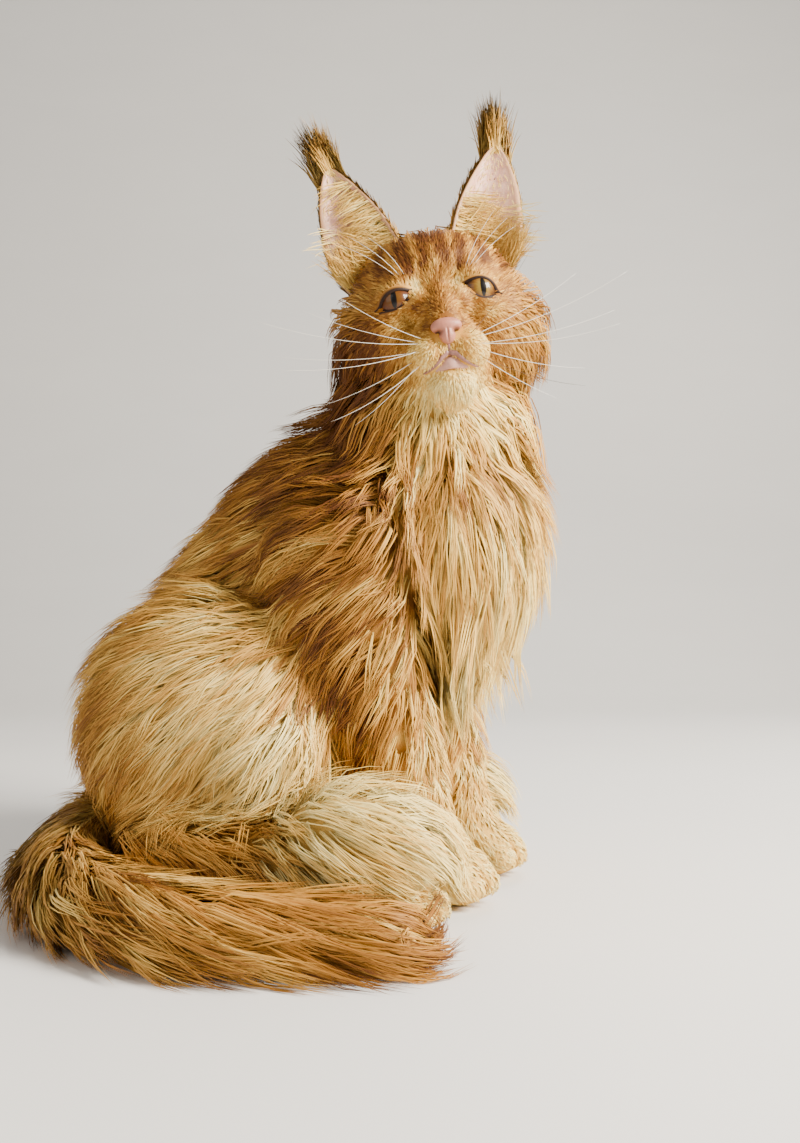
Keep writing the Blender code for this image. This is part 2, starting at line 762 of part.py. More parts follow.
def lock_mesh(path, outs, width, thick):
    last = len(path) - 1
    points = []
    for share, wide, high in zip(LOCK_SHARES, LOCK_WIDTHS, LOCK_HEIGHTS):
        i = round(share * last)
        ahead = (path[min(i + 1, last)] - path[max(i - 1, 0)]).normalized()
        side = ahead.cross(outs[i]).normalized()
        out = side.cross(ahead)
        middle = path[i]
        points += [middle - side * (width * wide / 2), middle + side * (width * wide / 2),
                   middle + out * (thick * high)]
    for point in points:
        point.z = max(point.z, FLOOR_CLEARANCE / 2)
    points.append(path[last])
    faces = [(0, 1, 2)]
    for ring in range(0, 3 * (len(LOCK_SHARES) - 1), 3):
        for a, b in ((0, 1), (1, 2), (2, 0)):
            faces += [(ring + a, ring + b, ring + b + 3), (ring + a, ring + b + 3, ring + a + 3)]
    ring = 3 * (len(LOCK_SHARES) - 1)
    faces += [(ring, ring + 1, ring + 3), (ring + 1, ring + 2, ring + 3), (ring + 2, ring, ring + 3)]
    return facing_out(mesh_of(points, faces))


class Coat:
    """The locks on all the nodes, grown one node at a time so that none crosses another node."""

    def __init__(self, nodes):
        self.nodes = nodes
        self.cores = {node.name: surface_of([node.data]) for node in nodes}
        self.body = self.whole_body()
        self.locks = {node.name: [] for node in nodes}
        self.shapes = {node.name: [] for node in nodes}

    def whole_body(self):
        """One smooth surface round all the cores, without the gaps between them."""
        shapes = [swollen(node.data, 2 * GAP) for node in self.nodes]
        body = fused("body", shapes, BODY_VOXEL, 2, BODY_TRIANGLES)
        surface = surface_of([body.data])
        bpy.data.objects.remove(body)
        return surface

    def clear(self, name, mesh):
        """Whether a lock of this node keeps its distance from all the other nodes."""
        shape = surface_of([swollen(mesh, BETWEEN_NODES)])
        for other in self.nodes:
            if other.name == name:
                continue
            if shape.overlap(self.cores[other.name]):
                return None
            if any(shape.overlap(lock) for lock in self.shapes[other.name]):
                return None
        return surface_of([mesh])

    def open_to_air(self, name, place, normal):
        """Whether nothing of the other nodes lies close over this place."""
        start = place + normal * 0.001
        return all(core.ray_cast(start, normal, 0.006)[0] is None
                   for other, core in self.cores.items() if other != name)

    def grow(self, node, lie, sizes, wanted=None):
        """Locks of these sizes on the wanted part of a node. One that would cross another node is
        tried again a little shorter and higher."""
        spacing, length, width, thick, rise = sizes
        rng = random.Random(LOCK_SEEDS.get(node.name, 1))

        def usable(place, normal):
            low = place.z < SOLE_Z or (normal.z < -0.55 and place.z < UNDERSIDE_Z)
            return (not low and (wanted is None or wanted(place, normal))
                    and self.open_to_air(node.name, place, normal))
        for place, normal in even_roots(node.data, spacing, usable, rng):
            size = rng.uniform(0.85, 1.15)
            bend = Vector([rng.uniform(-0.16, 0.16) for _ in range(3)])
            for attempt in range(LOCK_TRIES):
                path, outs = lock_path(self.body, place, normal,
                                       lambda at: lie(at).normalized() + bend,
                                       length * size * (1 - SHORTER * attempt),
                                       rise * size + HIGHER * attempt)
                mesh = lock_mesh(path, outs, width * rng.uniform(0.85, 1.1), thick)
                shape = self.clear(node.name, mesh)
                if shape:
                    self.locks[node.name].append(mesh)
                    self.shapes[node.name].append(shape)
                    break

    def tuft(self, node, roots, ways, lengths, width, thick, curl=(0, 0, 0)):
        """Narrow locks that stand free, such as those of an ear, from their roots."""
        for root, way, length in zip(roots, ways, lengths):
            way = Vector(way).normalized()
            out = (HEAD_FRONT - way * way.dot(HEAD_FRONT)).normalized()
            shares = [step / LOCK_STEPS for step in range(LOCK_STEPS + 1)]
            path = [root + way * (length * (share - TUFT_SINK)) + Vector(curl) * share ** 2
                    for share in shares]
            mesh = lock_mesh(path, [out] * len(path), width, thick)
            shape = self.clear(node.name, mesh)
            if shape:
                self.locks[node.name].append(mesh)
                self.shapes[node.name].append(shape)

    def fuse(self):
        """Joins each node's locks to it."""
        for node in self.nodes:
            if not self.locks[node.name]:
                continue
            locks = bpy.data.collections.new("locks")
            bpy.context.scene.collection.children.link(locks)
            for mesh in self.locks[node.name]:
                locks.objects.link(bpy.data.objects.new("lock", mesh))
            union = node.modifiers.new("Join", "BOOLEAN")
            union.operation = "UNION"
            union.solver = "MANIFOLD"
            union.operand_type = "COLLECTION"
            union.collection = locks
            apply_modifiers(node)
            for lock in list(locks.objects):
                bpy.data.objects.remove(lock)
            bpy.data.collections.remove(locks)
            node.data = largest_piece(node.data)


def on_cheek(place, normal):
    """The rim of the cheeks, from which longer hair runs out over the neck."""
    front, left, up = (HEAD_AXES.transposed() @ (place - HEAD_AT)) / MM
    return abs(left) > 36 and front < 22 and up < 10


def grow_ear_hair(coat, ears):
    """The brush at the tip of each ear, and the hair that crosses its cup from the inner edge."""
    for ear, side in zip(ears, SIDES.values()):
        spread = (-0.5, 0.0, 0.5)
        roots = [ear_surface(side, across, 0.93) for across in spread]
        up = HEAD_UP + HEAD_LEFT * side * 0.12
        ways = [up + HEAD_LEFT * side * across * 0.45 for across in spread]
        coat.tuft(ear, roots, ways, (0.032, 0.038, 0.032), 0.010, 0.003)
        heights = (0.2, 0.5)
        roots = [ear_surface(side, -0.86, up_share) for up_share in heights]
        ways = [HEAD_LEFT * side + HEAD_UP * 0.25 + HEAD_FRONT * 0.35] * len(heights)
        coat.tuft(ear, roots, ways, (0.042, 0.030), 0.012, 0.002,
                  HEAD_UP * -0.006)


WHISKER_THICK = 0.0012
WHISKER_LENGTHS = (0.100, 0.070)
WHISKER_SLOPES = (0.08, -0.50)
WHISKER_CURL = 0.016


def grow_whiskers(coat, head):
    """The two longest whiskers on each side of the muzzle, which stand out as stiff bristles."""
    for side in SIDES.values():
        roots = [on_head(55, side * 15, -33), on_head(50, side * 18, -38)]
        ways = [HEAD_LEFT * side + HEAD_FRONT * 0.15 + HEAD_UP * slope for slope in WHISKER_SLOPES]
        coat.tuft(head, roots, ways, WHISKER_LENGTHS, WHISKER_THICK, WHISKER_THICK,
                  HEAD_UP * WHISKER_CURL)


def grow_coat(nodes, ears, head, neck, chest, torso, forelegs, hindfeet, thighs, tail):
    """The locks, from the head down, each node's along its own lie."""
    coat = Coat(nodes)
    grow_ear_hair(coat, ears)
    coat.grow(head, head_lie, CHEEK_LOCKS, on_cheek)
    coat.grow(neck, ruff_lie, NECK_LOCKS)
    coat.grow(chest, ruff_lie, CHEST_LOCKS)
    for foreleg in forelegs:
        coat.grow(foreleg, leg_lie, FORELEG_LOCKS, lambda at, out: at.z > FEATHERED_ABOVE_Z)
    coat.grow(torso, body_lie, TORSO_LOCKS)
    for thigh in thighs:
        coat.grow(thigh, haunch_lie, THIGH_LOCKS)
    for length in tail:
        coat.grow(length, tail_lie, TAIL_LOCKS)
    for hindfoot in hindfeet:
        coat.grow(hindfoot, foot_lie, FOOT_LOCKS, lambda at, out: at.z > BARE_FOOT_Z)
    grow_whiskers(coat, head)
    coat.fuse()


def centre_all(pieces):
    """Moves the whole cat so that its bounding box stands on the origin."""
    corners = [vertex.co for piece in pieces for vertex in piece.data.vertices]
    low, high = ([pick(corner[i] for corner in corners) for i in range(3)] for pick in (min, max))
    shift = Vector((-(low[0] + high[0]) / 2, -(low[1] + high[1]) / 2, 0))
    for piece in pieces:
        piece.data.transform(Matrix.Translation(shift))


def main():
    clear_scene()
    eyes = [build_eye(side) for side in SIDES]
    ears = [build_ear(side) for side in SIDES]
    nose = build_nose()
    head, whole_head = build_head(eyes, nose)
    for ear in ears:
        carve(ear, [swollen(whole_head)], "MANIFOLD")
    neck = build_neck()
    chest = build_chest()
    torso = build_torso()
    forelegs = [build_foreleg(side) for side in SIDES]
    hindfeet = [build_hindfoot(side) for side in SIDES]
    thighs = [build_thigh(side) for side in SIDES]
    tail = build_tail()
    for foreleg, hindfoot, thigh in zip(forelegs, hindfeet, thighs):
        clear_of(hindfoot, foreleg)
        clear_of(thigh, foreleg, hindfoot)
    clear_of(thighs[1], *tail)
    clear_of(hindfeet[1], *tail)
    carve(neck, [simplified(whole_head, CUTTER_TRIANGLES)], "MANIFOLD")
    clear_of(neck, *ears)
    clear_of(neck, *forelegs)
    clear_of(chest, neck, *forelegs)
    clear_of(torso, neck, chest)
    clear_of(torso, *forelegs)
    clear_of(torso, *hindfeet)
    clear_of(torso, *thighs)
    clear_of(torso, *tail)
    furred = [head, neck, chest, torso, *forelegs, *hindfeet, *thighs, *tail]
    nodes = [*eyes, *ears, nose, *furred]
    grow_coat(nodes, ears, head, neck, chest, torso, forelegs, hindfeet, thighs, tail)
    paint(furred, "coat", (0.46, 0.25, 0.09), 0.9)
    paint(ears, "ear", (0.60, 0.38, 0.24), 0.85)
    paint(eyes, "eye", (0.30, 0.16, 0.03), 0.15)
    paint([nose], "nose_leather", (0.55, 0.24, 0.17), 0.5)
    centre_all(nodes)


main()
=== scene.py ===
import math

import bmesh
import bpy
import numpy as np
from mathutils import Matrix, Vector
from mathutils.bvhtree import BVHTree
from mathutils.kdtree import KDTree


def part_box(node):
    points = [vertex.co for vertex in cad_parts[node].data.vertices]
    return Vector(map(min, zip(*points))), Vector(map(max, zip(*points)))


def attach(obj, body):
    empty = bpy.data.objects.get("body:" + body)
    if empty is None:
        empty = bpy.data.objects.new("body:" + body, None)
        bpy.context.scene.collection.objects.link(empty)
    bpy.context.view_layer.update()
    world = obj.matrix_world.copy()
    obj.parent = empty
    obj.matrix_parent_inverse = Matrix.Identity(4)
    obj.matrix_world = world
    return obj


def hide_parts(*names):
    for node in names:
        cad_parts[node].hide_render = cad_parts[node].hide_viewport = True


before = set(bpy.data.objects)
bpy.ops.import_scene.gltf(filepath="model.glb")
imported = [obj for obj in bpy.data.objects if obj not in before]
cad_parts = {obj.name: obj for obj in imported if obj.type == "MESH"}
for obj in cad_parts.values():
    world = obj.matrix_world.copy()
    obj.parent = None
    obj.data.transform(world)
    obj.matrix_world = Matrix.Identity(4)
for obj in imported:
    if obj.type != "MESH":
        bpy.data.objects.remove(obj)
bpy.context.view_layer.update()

MM = 0.001
EYE_LEVEL = 0.350
PAW_SPREAD = 0.037
HEAD_TURN = math.radians(70)
HEAD_ROLL = math.radians(8)
X_AXIS = Vector((1, 0, 0))
Z_AXIS = Vector((0, 0, 1))
SIDES = {"left": 1, "right": -1}
HEAD_AT = Vector((-0.030, 0.020, EYE_LEVEL))
HEAD_FRONT = Vector((-math.sin(HEAD_TURN), -math.cos(HEAD_TURN), 0))
HEAD_LEFT = (Matrix.Rotation(HEAD_ROLL, 3, HEAD_FRONT) @ Z_AXIS.cross(HEAD_FRONT)).normalized()
HEAD_UP = HEAD_FRONT.cross(HEAD_LEFT)
HEAD_AXES = Matrix((HEAD_FRONT, HEAD_LEFT, HEAD_UP)).transposed()
EYE_AT = (30.0, 23.5, 1.0)
EYE_RADIUS = 11.0
EYE_LONG, EYE_HIGH = 10.0, 5.3
EYE_SLANT = math.radians(20)
GAZE_OUT = math.radians(12)
SKIN_VOXEL = 0.0021


def on_head(front, left, up):
    """A place on the head, from millimetres along its own axes."""
    return HEAD_AT + HEAD_AXES @ (Vector((front, left, up)) * MM)


# The body is worked out from the point between its forepaws, and the frame's origin is elsewhere.
eye_low, eye_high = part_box("eye_left")
FRAME_SHIFT = (eye_low + eye_high) / 2 - on_head(*EYE_AT)


def blended(stations, share):
    """A value at a share from 0 to 1 of the way along the stations, on a smooth curve."""
    spans = len(stations) - 1
    place = min(max(share, 0.0), 1.0) * spans
    i = min(int(place), spans - 1)
    t = place - i
    before, a, b, after = (stations[max(i - 1, 0)], stations[i], stations[i + 1],
                           stations[min(i + 2, spans)])
    return [0.5 * (2 * q + (r - p) * t + (2 * p - 5 * q + 4 * r - s) * t * t
                   + (3 * q - p - 3 * r + s) * t ** 3) for p, q, r, s in zip(before, a, b, after)]


def mesh_of(points, faces):
    mesh = bpy.data.meshes.new("shape")
    mesh.from_pydata([tuple(p) for p in points], [], faces)
    mesh.update()
    return mesh


def limb(stations, across, rings=16, sides=24, round_ends=(1.0, 1.0)):
    """A closed tube through stations of (x, y, z, half width, half depth) with round ends."""
    rows = []
    step = 0.5 / rings
    for ring in range(rings + 1):
        share = ring / rings
        x, y, z, wide, deep = blended(stations, share)
        ahead = Vector(blended(stations, share + step)[:3])
        behind = Vector(blended(stations, share - step)[:3])
        rows.append((Vector((x, y, z)), (ahead - behind).normalized(), wide, deep))
    bends = [math.radians(turn) for turn in (28, 55, 85)]
    for last, way, roundness in ((0, -1, round_ends[0]), (-1, 1, round_ends[1])):
        place, along, wide, deep = rows[last]
        cap = [(place + along * (way * roundness * min(wide, deep) * math.sin(bend)), along,
                wide * math.cos(bend), deep * math.cos(bend)) for bend in bends if roundness]
        rows = rows + cap if way > 0 else cap[::-1] + rows
    points = []
    for place, along, wide, deep in rows:
        width_way = (across - along * across.dot(along)).normalized()
        depth_way = along.cross(width_way)
        for side in range(sides):
            angle = 2 * math.pi * side / sides
            points.append(place + width_way * (wide * math.cos(angle))
                          + depth_way * (deep * math.sin(angle)))
    faces = []
    for ring in range(len(rows) - 1):
        for side in range(sides):
            a = ring * sides + side
            b = ring * sides + (side + 1) % sides
            faces.append((a, b, b + sides, a + sides))
    faces.append(tuple(reversed(range(sides))))
    faces.append(tuple(range(len(points) - sides, len(points))))
    return mesh_of(points, faces)


def round_form(centre, radii, axes=None, segments=24, rings=16):
    """An ellipsoid with its radii along the columns of axes."""
    shape = bmesh.new()
    bmesh.ops.create_uvsphere(shape, u_segments=segments, v_segments=rings, radius=1)
    turn = (axes or Matrix.Identity(3)) @ Matrix.Diagonal(Vector(radii))
    for vertex in shape.verts:
        vertex.co = Vector(centre) + turn @ vertex.co
    mesh = bpy.data.meshes.new("form")
    shape.to_mesh(mesh)
    shape.free()
    return mesh


def head_form(at, radii):
    return round_form(on_head(*at), [r * MM for r in radii], HEAD_AXES)


def both_sides(at):
    """The same place on both sides of the head."""
    return [(at[0], side * at[1], at[2]) for side in SIDES.values()]


head_forms = [head_form((-6, 0, 14), (43, 46, 34)), head_form((34, 0, -30), (26, 21, 18)),
              head_form((43, 0, -52), (13, 13, 11)), head_form((20, 0, -41), (32, 24, 17))]
for at in both_sides((22, 18, 13)):
    head_forms.append(head_form(at, (15, 14, 12)))
for at in both_sides((4, 27, -13)):
    head_forms.append(head_form(at, (33, 28, 31)))
for at in both_sides((47, 10.5, -36)):
    head_forms.append(head_form(at, (14, 12.5, 11)))
for at in both_sides(EYE_AT):
    head_forms.append(head_form(at, (EYE_RADIUS + 1,) * 3))
for at in both_sides((36, 10.5, -5)):
    head_forms.append(head_form(at, (9, 8, 9)))
BRIDGE = [(26, 0, 6, 10, 8), (40, 0, -6, 9.5, 8), (54, 0, -20, 8, 6.5)]
head_forms.append(limb([(*on_head(*row[:3]), row[3] * MM, row[4] * MM) for row in BRIDGE], HEAD_LEFT))

NECK = [(-0.004, 0.050, 0.224, 0.050, 0.058), (-0.009, 0.040, 0.255, 0.047, 0.050),
        (-0.014, 0.030, 0.288, 0.047, 0.046), (-0.014, 0.030, 0.318, 0.045, 0.043)]
BODY = [(0, 0.206, 0.042, 0.060, 0.050), (0, 0.192, 0.088, 0.066, 0.068),
        (0, 0.160, 0.126, 0.066, 0.070), (0, 0.130, 0.165, 0.064, 0.072),
        (0, 0.098, 0.202, 0.062, 0.076), (-0.002, 0.070, 0.234, 0.056, 0.068),
        (-0.004, 0.056, 0.258, 0.046, 0.054)]
CHEST_AT, CHEST_RADII = (-0.010, 0.022, 0.212), (0.050, 0.044, 0.056)
LEG = [(0.056, 0.072, 0.206, 0.030, 0.044), (0.056, 0.070, 0.172, 0.030, 0.044),
       (0.051, 0.064, 0.132, 0.027, 0.041), (0.044, 0.046, 0.086, 0.022, 0.029),
       (0.038, 0.028, 0.042, 0.0185, 0.0215), (PAW_SPREAD, 0.016, 0.022, 0.0185, 0.0205)]
PAW_AT = (PAW_SPREAD, 0.006, 0.016)
FOOT = [(0.088, 0.150, 0.026, 0.020, 0.024), (0.092, 0.100, 0.024, 0.021, 0.024),
        (0.096, 0.045, 0.024, 0.022, 0.024), (0.097, 0.005, 0.018, 0.020, 0.018)]
HIND_TOES_AT = (0.097, -0.008, 0.012)
THIGH_AT, THIGH_RADII = (0.062, 0.152, 0.100), (0.040, 0.083, 0.076)
KNEE_AT, KNEE_RADII = (0.084, 0.088, 0.086), (0.022, 0.026, 0.032)
SHIN_AT, SHIN_RADII = (0.099, 0.024, 0.036), (0.021, 0.048, 0.034)
HIND_STEP = {"left": 0.042, "right": 0.020}
TAIL_PATH = [(0.000, 0.226, 0.034), (-0.048, 0.247, 0.027), (-0.105, 0.225, 0.021),
             (-0.150, 0.176, 0.019), (-0.171, 0.122, 0.018), (-0.169, 0.078, 0.017),
             (-0.157, 0.040, 0.015), (-0.146, 0.008, 0.013)]
TAIL_SKIN = 0.013


def on_side(side, stations, back=0.0):
    """Stations of the left leg, or the same ones on the right, set back by a distance."""
    return [(side * row[0], row[1] + back, *row[2:]) for row in stations]


def toes(at, spread, radius, reach):
    """Four round toes side by side at the front of a paw."""
    made = []
    for share in (-1, -1 / 3, 1 / 3, 1):
        centre = (at[0] + spread * share, at[1] - reach * (1 - 0.35 * share * share), at[2])
        made.append(round_form(centre, (radius, radius * 1.35, radius)))
    return made


shoulder_fills = [round_form((side * 0.038, 0.052, 0.222), (0.030, 0.036, 0.036)) for side in SIDES.values()]
body_forms = {"head": head_forms, "neck": [limb(NECK, X_AXIS, round_ends=(0.3, 0.4)), *shoulder_fills],
              "chest": [round_form(CHEST_AT, CHEST_RADII)],
              "torso": [limb(BODY, X_AXIS, round_ends=(0.8, 0.5))]}
for side_name, side in SIDES.items():
    paw = Vector(on_side(side, [PAW_AT])[0])
    body_forms[f"foreleg_{side_name}"] = [limb(on_side(side, LEG), X_AXIS, rings=22),
                                          round_form(paw, (0.0195, 0.0225, 0.0165)),
                                          *toes(paw + Vector((0, -0.003, -0.003)), 0.0135, 0.0075, 0.012)]
    step = HIND_STEP[side_name]
    shin, toe = on_side(side, [SHIN_AT, HIND_TOES_AT], step)
    body_forms[f"hindfoot_{side_name}"] = [round_form(shin, SHIN_RADII),
                                           limb(on_side(side, FOOT, step), X_AXIS, rings=22),
                                           *toes(Vector(toe), 0.013, 0.0075, 0.010)]
    body_forms[f"thigh_{side_name}"] = [round_form(on_side(side, [THIGH_AT])[0], THIGH_RADII),
                                        round_form(on_side(side, [KNEE_AT], step)[0], KNEE_RADII)]
tail_stations = []
for i in range(21):
    thick = TAIL_SKIN * (1 - 0.35 * i / 20)
    x, y, z = blended(TAIL_PATH, i / 20)
    tail_stations.append((x, y, max(z, thick * 1.1), thick, thick))
body_forms["tail"] = [limb(tail_stations, Z_AXIS, rings=44, sides=16)]
PARTS = list(body_forms)


def melted(name, meshes, voxel, smoothing):
    """One smooth closed surface round these overlapping forms, as an object."""
    shape = bmesh.new()
    for mesh in meshes:
        shape.from_mesh(mesh)
    whole = bpy.data.meshes.new(name)
    shape.to_mesh(whole)
    shape.free()
    obj = bpy.data.objects.new(name, whole)
    bpy.context.scene.collection.objects.link(obj)
    remesh = obj.modifiers.new("Melt", "REMESH")
    remesh.mode = "VOXEL"
    remesh.voxel_size = voxel
    smooth = obj.modifiers.new("Soften", "SMOOTH")
    smooth.factor = 0.5
    smooth.iterations = smoothing
    mesh = bpy.data.meshes.new_from_object(obj.evaluated_get(bpy.context.evaluated_depsgraph_get()))
    obj.modifiers.clear()
    obj.data = mesh
    return obj


def spots(mesh):
    """The mesh's points as an array."""
    flat = np.empty(len(mesh.vertices) * 3)
    mesh.vertices.foreach_get("co", flat)
    return flat.reshape(-1, 3)


def move_spots(mesh, points):
    mesh.vertices.foreach_set("co", np.asarray(points).ravel())
    mesh.update()


def head_places(points):
    """Places in millimetres along the head's own axes: forward, left and up."""
    return (points - np.array(HEAD_AT)) @ np.array(HEAD_AXES) / MM


def eye_axes(side):
    """The way an eye looks, and the long and the upright way of its opening."""
    gaze = (HEAD_FRONT * math.cos(GAZE_OUT) + HEAD_LEFT * side * math.sin(GAZE_OUT)).normalized()
    along = (HEAD_LEFT * side - gaze * gaze.dot(HEAD_LEFT * side)).normalized()
    along = Matrix.Rotation(-side * EYE_SLANT, 3, gaze) @ along
    return gaze, along, gaze.cross(along) * side


def eye_places(points, side):
    """Millimetres from the middle of an eye, along its opening, up it and out of it."""
    gaze, along, up = eye_axes(side)
    centre = np.array(on_head(EYE_AT[0], side * EYE_AT[1], EYE_AT[2]))
    return (points - centre) @ np.array((along, up, gaze)).T / MM


def in_eye(points, side, grown=1.0):
    """Below 1 inside the eye's opening, whose lids are two arcs that meet at the corners."""
    x, y, out = eye_places(points, side).T
    arc = np.maximum(1 - (x / (EYE_LONG * grown)) ** 2, 0.0)
    inside = np.abs(y) / np.maximum(arc * EYE_HIGH * grown, 1e-6)
    return np.where((out > 2) & (np.abs(x) < EYE_LONG * grown), inside, 9.0)


skin = melted("skin", [mesh for meshes in body_forms.values() for mesh in meshes], SKIN_VOXEL, 4)
skin_points = spots(skin.data)
for side in SIDES.values():
    centre = np.array(on_head(EYE_AT[0], side * EYE_AT[1], EYE_AT[2]))
    from_eye = skin_points - centre
    far = np.linalg.norm(from_eye, axis=1, keepdims=True)
    socket = centre + from_eye / np.maximum(far, 1e-6) * (EYE_RADIUS - 2.0) * MM
    inside = in_eye(skin_points, side, 1.06)[:, None] < 1.0
    skin_points = np.where(inside & (far < 0.02), socket, skin_points)


def swell(x, low, high):
    """Goes smoothly from 0 below low to 1 above high."""
    t = np.clip((x - low) / (high - low), 0, 1)
    return t * t * (3 - 2 * t)


def between_toes(points):
    """1 in the clefts between the toes of the four paws, and 0 away from them."""
    cleft = np.zeros(len(points))
    for side_name, side in SIDES.items():
        for middle, front in ((PAW_SPREAD, 0.004), (HIND_TOES_AT[0], HIND_STEP[side_name] + 0.004)):
            for gap in (-0.0090, 0.0, 0.0090):
                near = np.exp(-((points[:, 0] - side * middle - gap) / 0.0015) ** 2)
                cleft = np.maximum(cleft, near * swell(front - points[:, 1], 0, 0.010) * swell(0.030 - points[:, 2], 0, 0.010))
    return cleft


move_spots(skin.data, skin_points)
skin_normals = np.empty(len(skin_points) * 3)
skin.data.vertices.foreach_get("normal", skin_normals)
skin_points = skin_points - skin_normals.reshape(-1, 3) * (0.0030 * between_toes(skin_points))[:, None]
skin_points[:, 2] = np.maximum(skin_points[:, 2], 0.0004)
move_spots(skin.data, skin_points)

# How much each place on the skin belongs to each part of the body.
part_spots = KDTree(sum(len(mesh.vertices) for meshes in body_forms.values() for mesh in meshes))
spot_part = []
for number, meshes in enumerate(body_forms.values()):
    for mesh in meshes:
        for vertex in mesh.vertices:
            part_spots.insert(vertex.co, len(spot_part))
            spot_part.append(number)
part_spots.balance()


def part_shares(points, blend=0.005):
    """For each place, its shares of the parts, which run into each other over that distance."""
    shares = np.zeros((len(points), len(PARTS)))
    for row, point in enumerate(points):
        near = part_spots.find_n(point, 14)
        first = near[0][2]
        for _, index, distance in near:
            shares[row, spot_part[index]] += math.exp(-(distance - first) / blend)
    return shares / shares.sum(axis=1, keepdims=True)


# The markings. A red tabby is cream on the muzzle, chin, chest, haunch and paws, orange-brown on
# the back, with darker bars on the forehead, cheeks, flanks and legs. A tone of 0 is cream and a
# tone of 1 is the darkest bar.

def near_line(points, start, end, width):
    """1 on a line between two places, falling to 0 at that distance from it."""
    start, end = np.array(start, float), np.array(end, float)
    t = np.clip((points - start) @ (end - start) / ((end - start) @ (end - start)), 0, 1)
    away = np.linalg.norm(points - start - t[:, None] * (end - start), axis=1)
    return np.exp(-(away / width) ** 2)


def mottle(points, size, seed):
    """Soft patches from -1 to 1 of about that size."""
    rng = np.random.default_rng(seed)
    total = np.zeros(len(points))
    for _ in range(7):
        way = rng.normal(size=3)
        way *= rng.uniform(0.6, 1.5) * 2 * math.pi / size / np.linalg.norm(way)
        total += np.sin(points @ way + rng.uniform(0, 6.3))
    return np.clip(total / 3.2, -1, 1)


WHISKER_ROWS = [(u, f, l) for u, row in ((-31.5, 0.0), (-35.5, 0.5), (-39.5, 0.0))
                for f, l in ((60 - 2.6 * i - 1.3 * row, 9.0 + 3.6 * i + 1.8 * row) for i in range(4))]


def head_tone(points):
    """Bars up the forehead, across the cheeks and down the bridge, and a pale muzzle and chin."""
    front, left, up = head_places(points).T
    wide = np.abs(left)
    mirrored = np.stack([front, wide, up], axis=1)
    warp = mottle(points, 0.020, 11)
    tone = 0.57 + 0.07 * mottle(points, 0.03, 1) + 0.06 * mottle(points, 0.009, 12)
    crown = swell(up, 9, 20)
    bars = np.sin(wide * 2 * math.pi / 11.5 - 0.9 + 1.1 * warp)
    tone += crown * (0.26 * bars * swell(44 - wide, 0, 10) + 0.26)
    tone += 0.24 * np.exp(-(wide / 6.5) ** 2) * swell(up, -22, -8) * swell(-up, -13, -3)
    tone += 0.40 * near_line(mirrored, (26, 36, 2), (0, 62, -12), 3.6)
    tone += 0.34 * near_line(mirrored, (30, 36, -16), (4, 60, -30), 3.6)
    tone += 0.36 * near_line(mirrored, (40, 12, 5), (28, 16, 32), 2.4)
    tone -= 0.60 * np.exp(-(((front - 38) / 10) ** 2 + ((wide - 12) / 4.8) ** 2 + ((up - 7) / 6.5) ** 2))
    tone += 0.30 * near_line(mirrored, (44, 13, -7), (54, 9, -21), 3.2)
    tone -= 0.30 * np.exp(-(((wide - 27) / 10) ** 2 + ((up + 13) / 4) ** 2)) * swell(front, 10, 24)
    # The lower right cheek is darker: partly a darker marking and partly painted shade on the side turned from the key
    # lamp.
    tone += 0.46 * swell(-left, 22, 42) * swell(-up, -6, 12)
    muzzle = swell(front, 30, 46) * swell(-up, 23, 32)
    tone = tone * (1 - muzzle) + (0.22 + 0.08 * warp) * muzzle
    chin = swell(-up, 43, 52)
    tone = tone * (1 - chin) + 0.04 * chin
    for spot_up, spot_front, spot_left in WHISKER_ROWS:
        away = np.linalg.norm(mirrored - (spot_front - 2, spot_left, spot_up), axis=1)
        tone += 0.75 * np.exp(-(away / 1.4) ** 2)
    return tone


def neck_tone(points):
    """Orange-brown, and paler under the chin and down the front, with painted shade on the side turned from the key
    lamp.
    """
    x, y, z = points.T
    back = swell(y, 0.02, 0.07)
    under_chin = np.exp(-(((points - np.array(on_head(46, 0, -82))) / 0.036) ** 2).sum(axis=1))
    patches = 0.15 * mottle(points, 0.035, 2) + 0.25 * mottle(points, 0.014, 13)
    # Painted shade: the side of the ruff turned away from the key lamp is darkened.
    painted_shade_side = swell(points @ np.array((-0.34, 0.94, 0)), 0.040, 0.066)
    return 0.45 + 0.22 * back + 0.32 * painted_shade_side - 0.07 * under_chin + patches


def chest_tone(points):
    """Pale long tresses, more orange at the sides."""
    side_on = swell(np.abs(points[:, 0] + 0.01), 0.015, 0.05)
    return 0.08 + 0.20 * side_on + 0.12 * mottle(points, 0.025, 3) + 0.07 * mottle(points, 0.012, 17)


def torso_tone(points):
    """Dark along the back, with soft bars down the flanks, and pale below."""
    x, y, z = points.T
    spine = swell(0.06 - np.abs(x), 0, 0.05)
    bars = np.sin(y * 2 * math.pi / 0.034 + z * 40 + 1.4 * mottle(points, 0.05, 5))
    high = swell(z, 0.150, 0.270)
    return 0.25 + 0.38 * high + 0.14 * spine + 0.12 * bars - 0.16 * swell(0.09 - z, 0, 0.06)


def thigh_tone(points):
    """Brindled, with a cream front edge."""
    x, y, z = points.T
    front = swell(0.150 - y, 0, 0.07)
    bars = np.sin((y * 0.75 + z * 0.65) * 2 * math.pi / 0.036 + 1.6 * mottle(points, 0.05, 6))
    back = swell(y, 0.14, 0.21)
    fine_bars = 0.10 * mottle(points, 0.014, 14)
    top = swell(z, 0.140, 0.200)
    return 0.30 + (0.14 * bars + fine_bars) * (1 - front) + 0.16 * back - 0.26 * front * (1 - 0.5 * top) + 0.15 * top


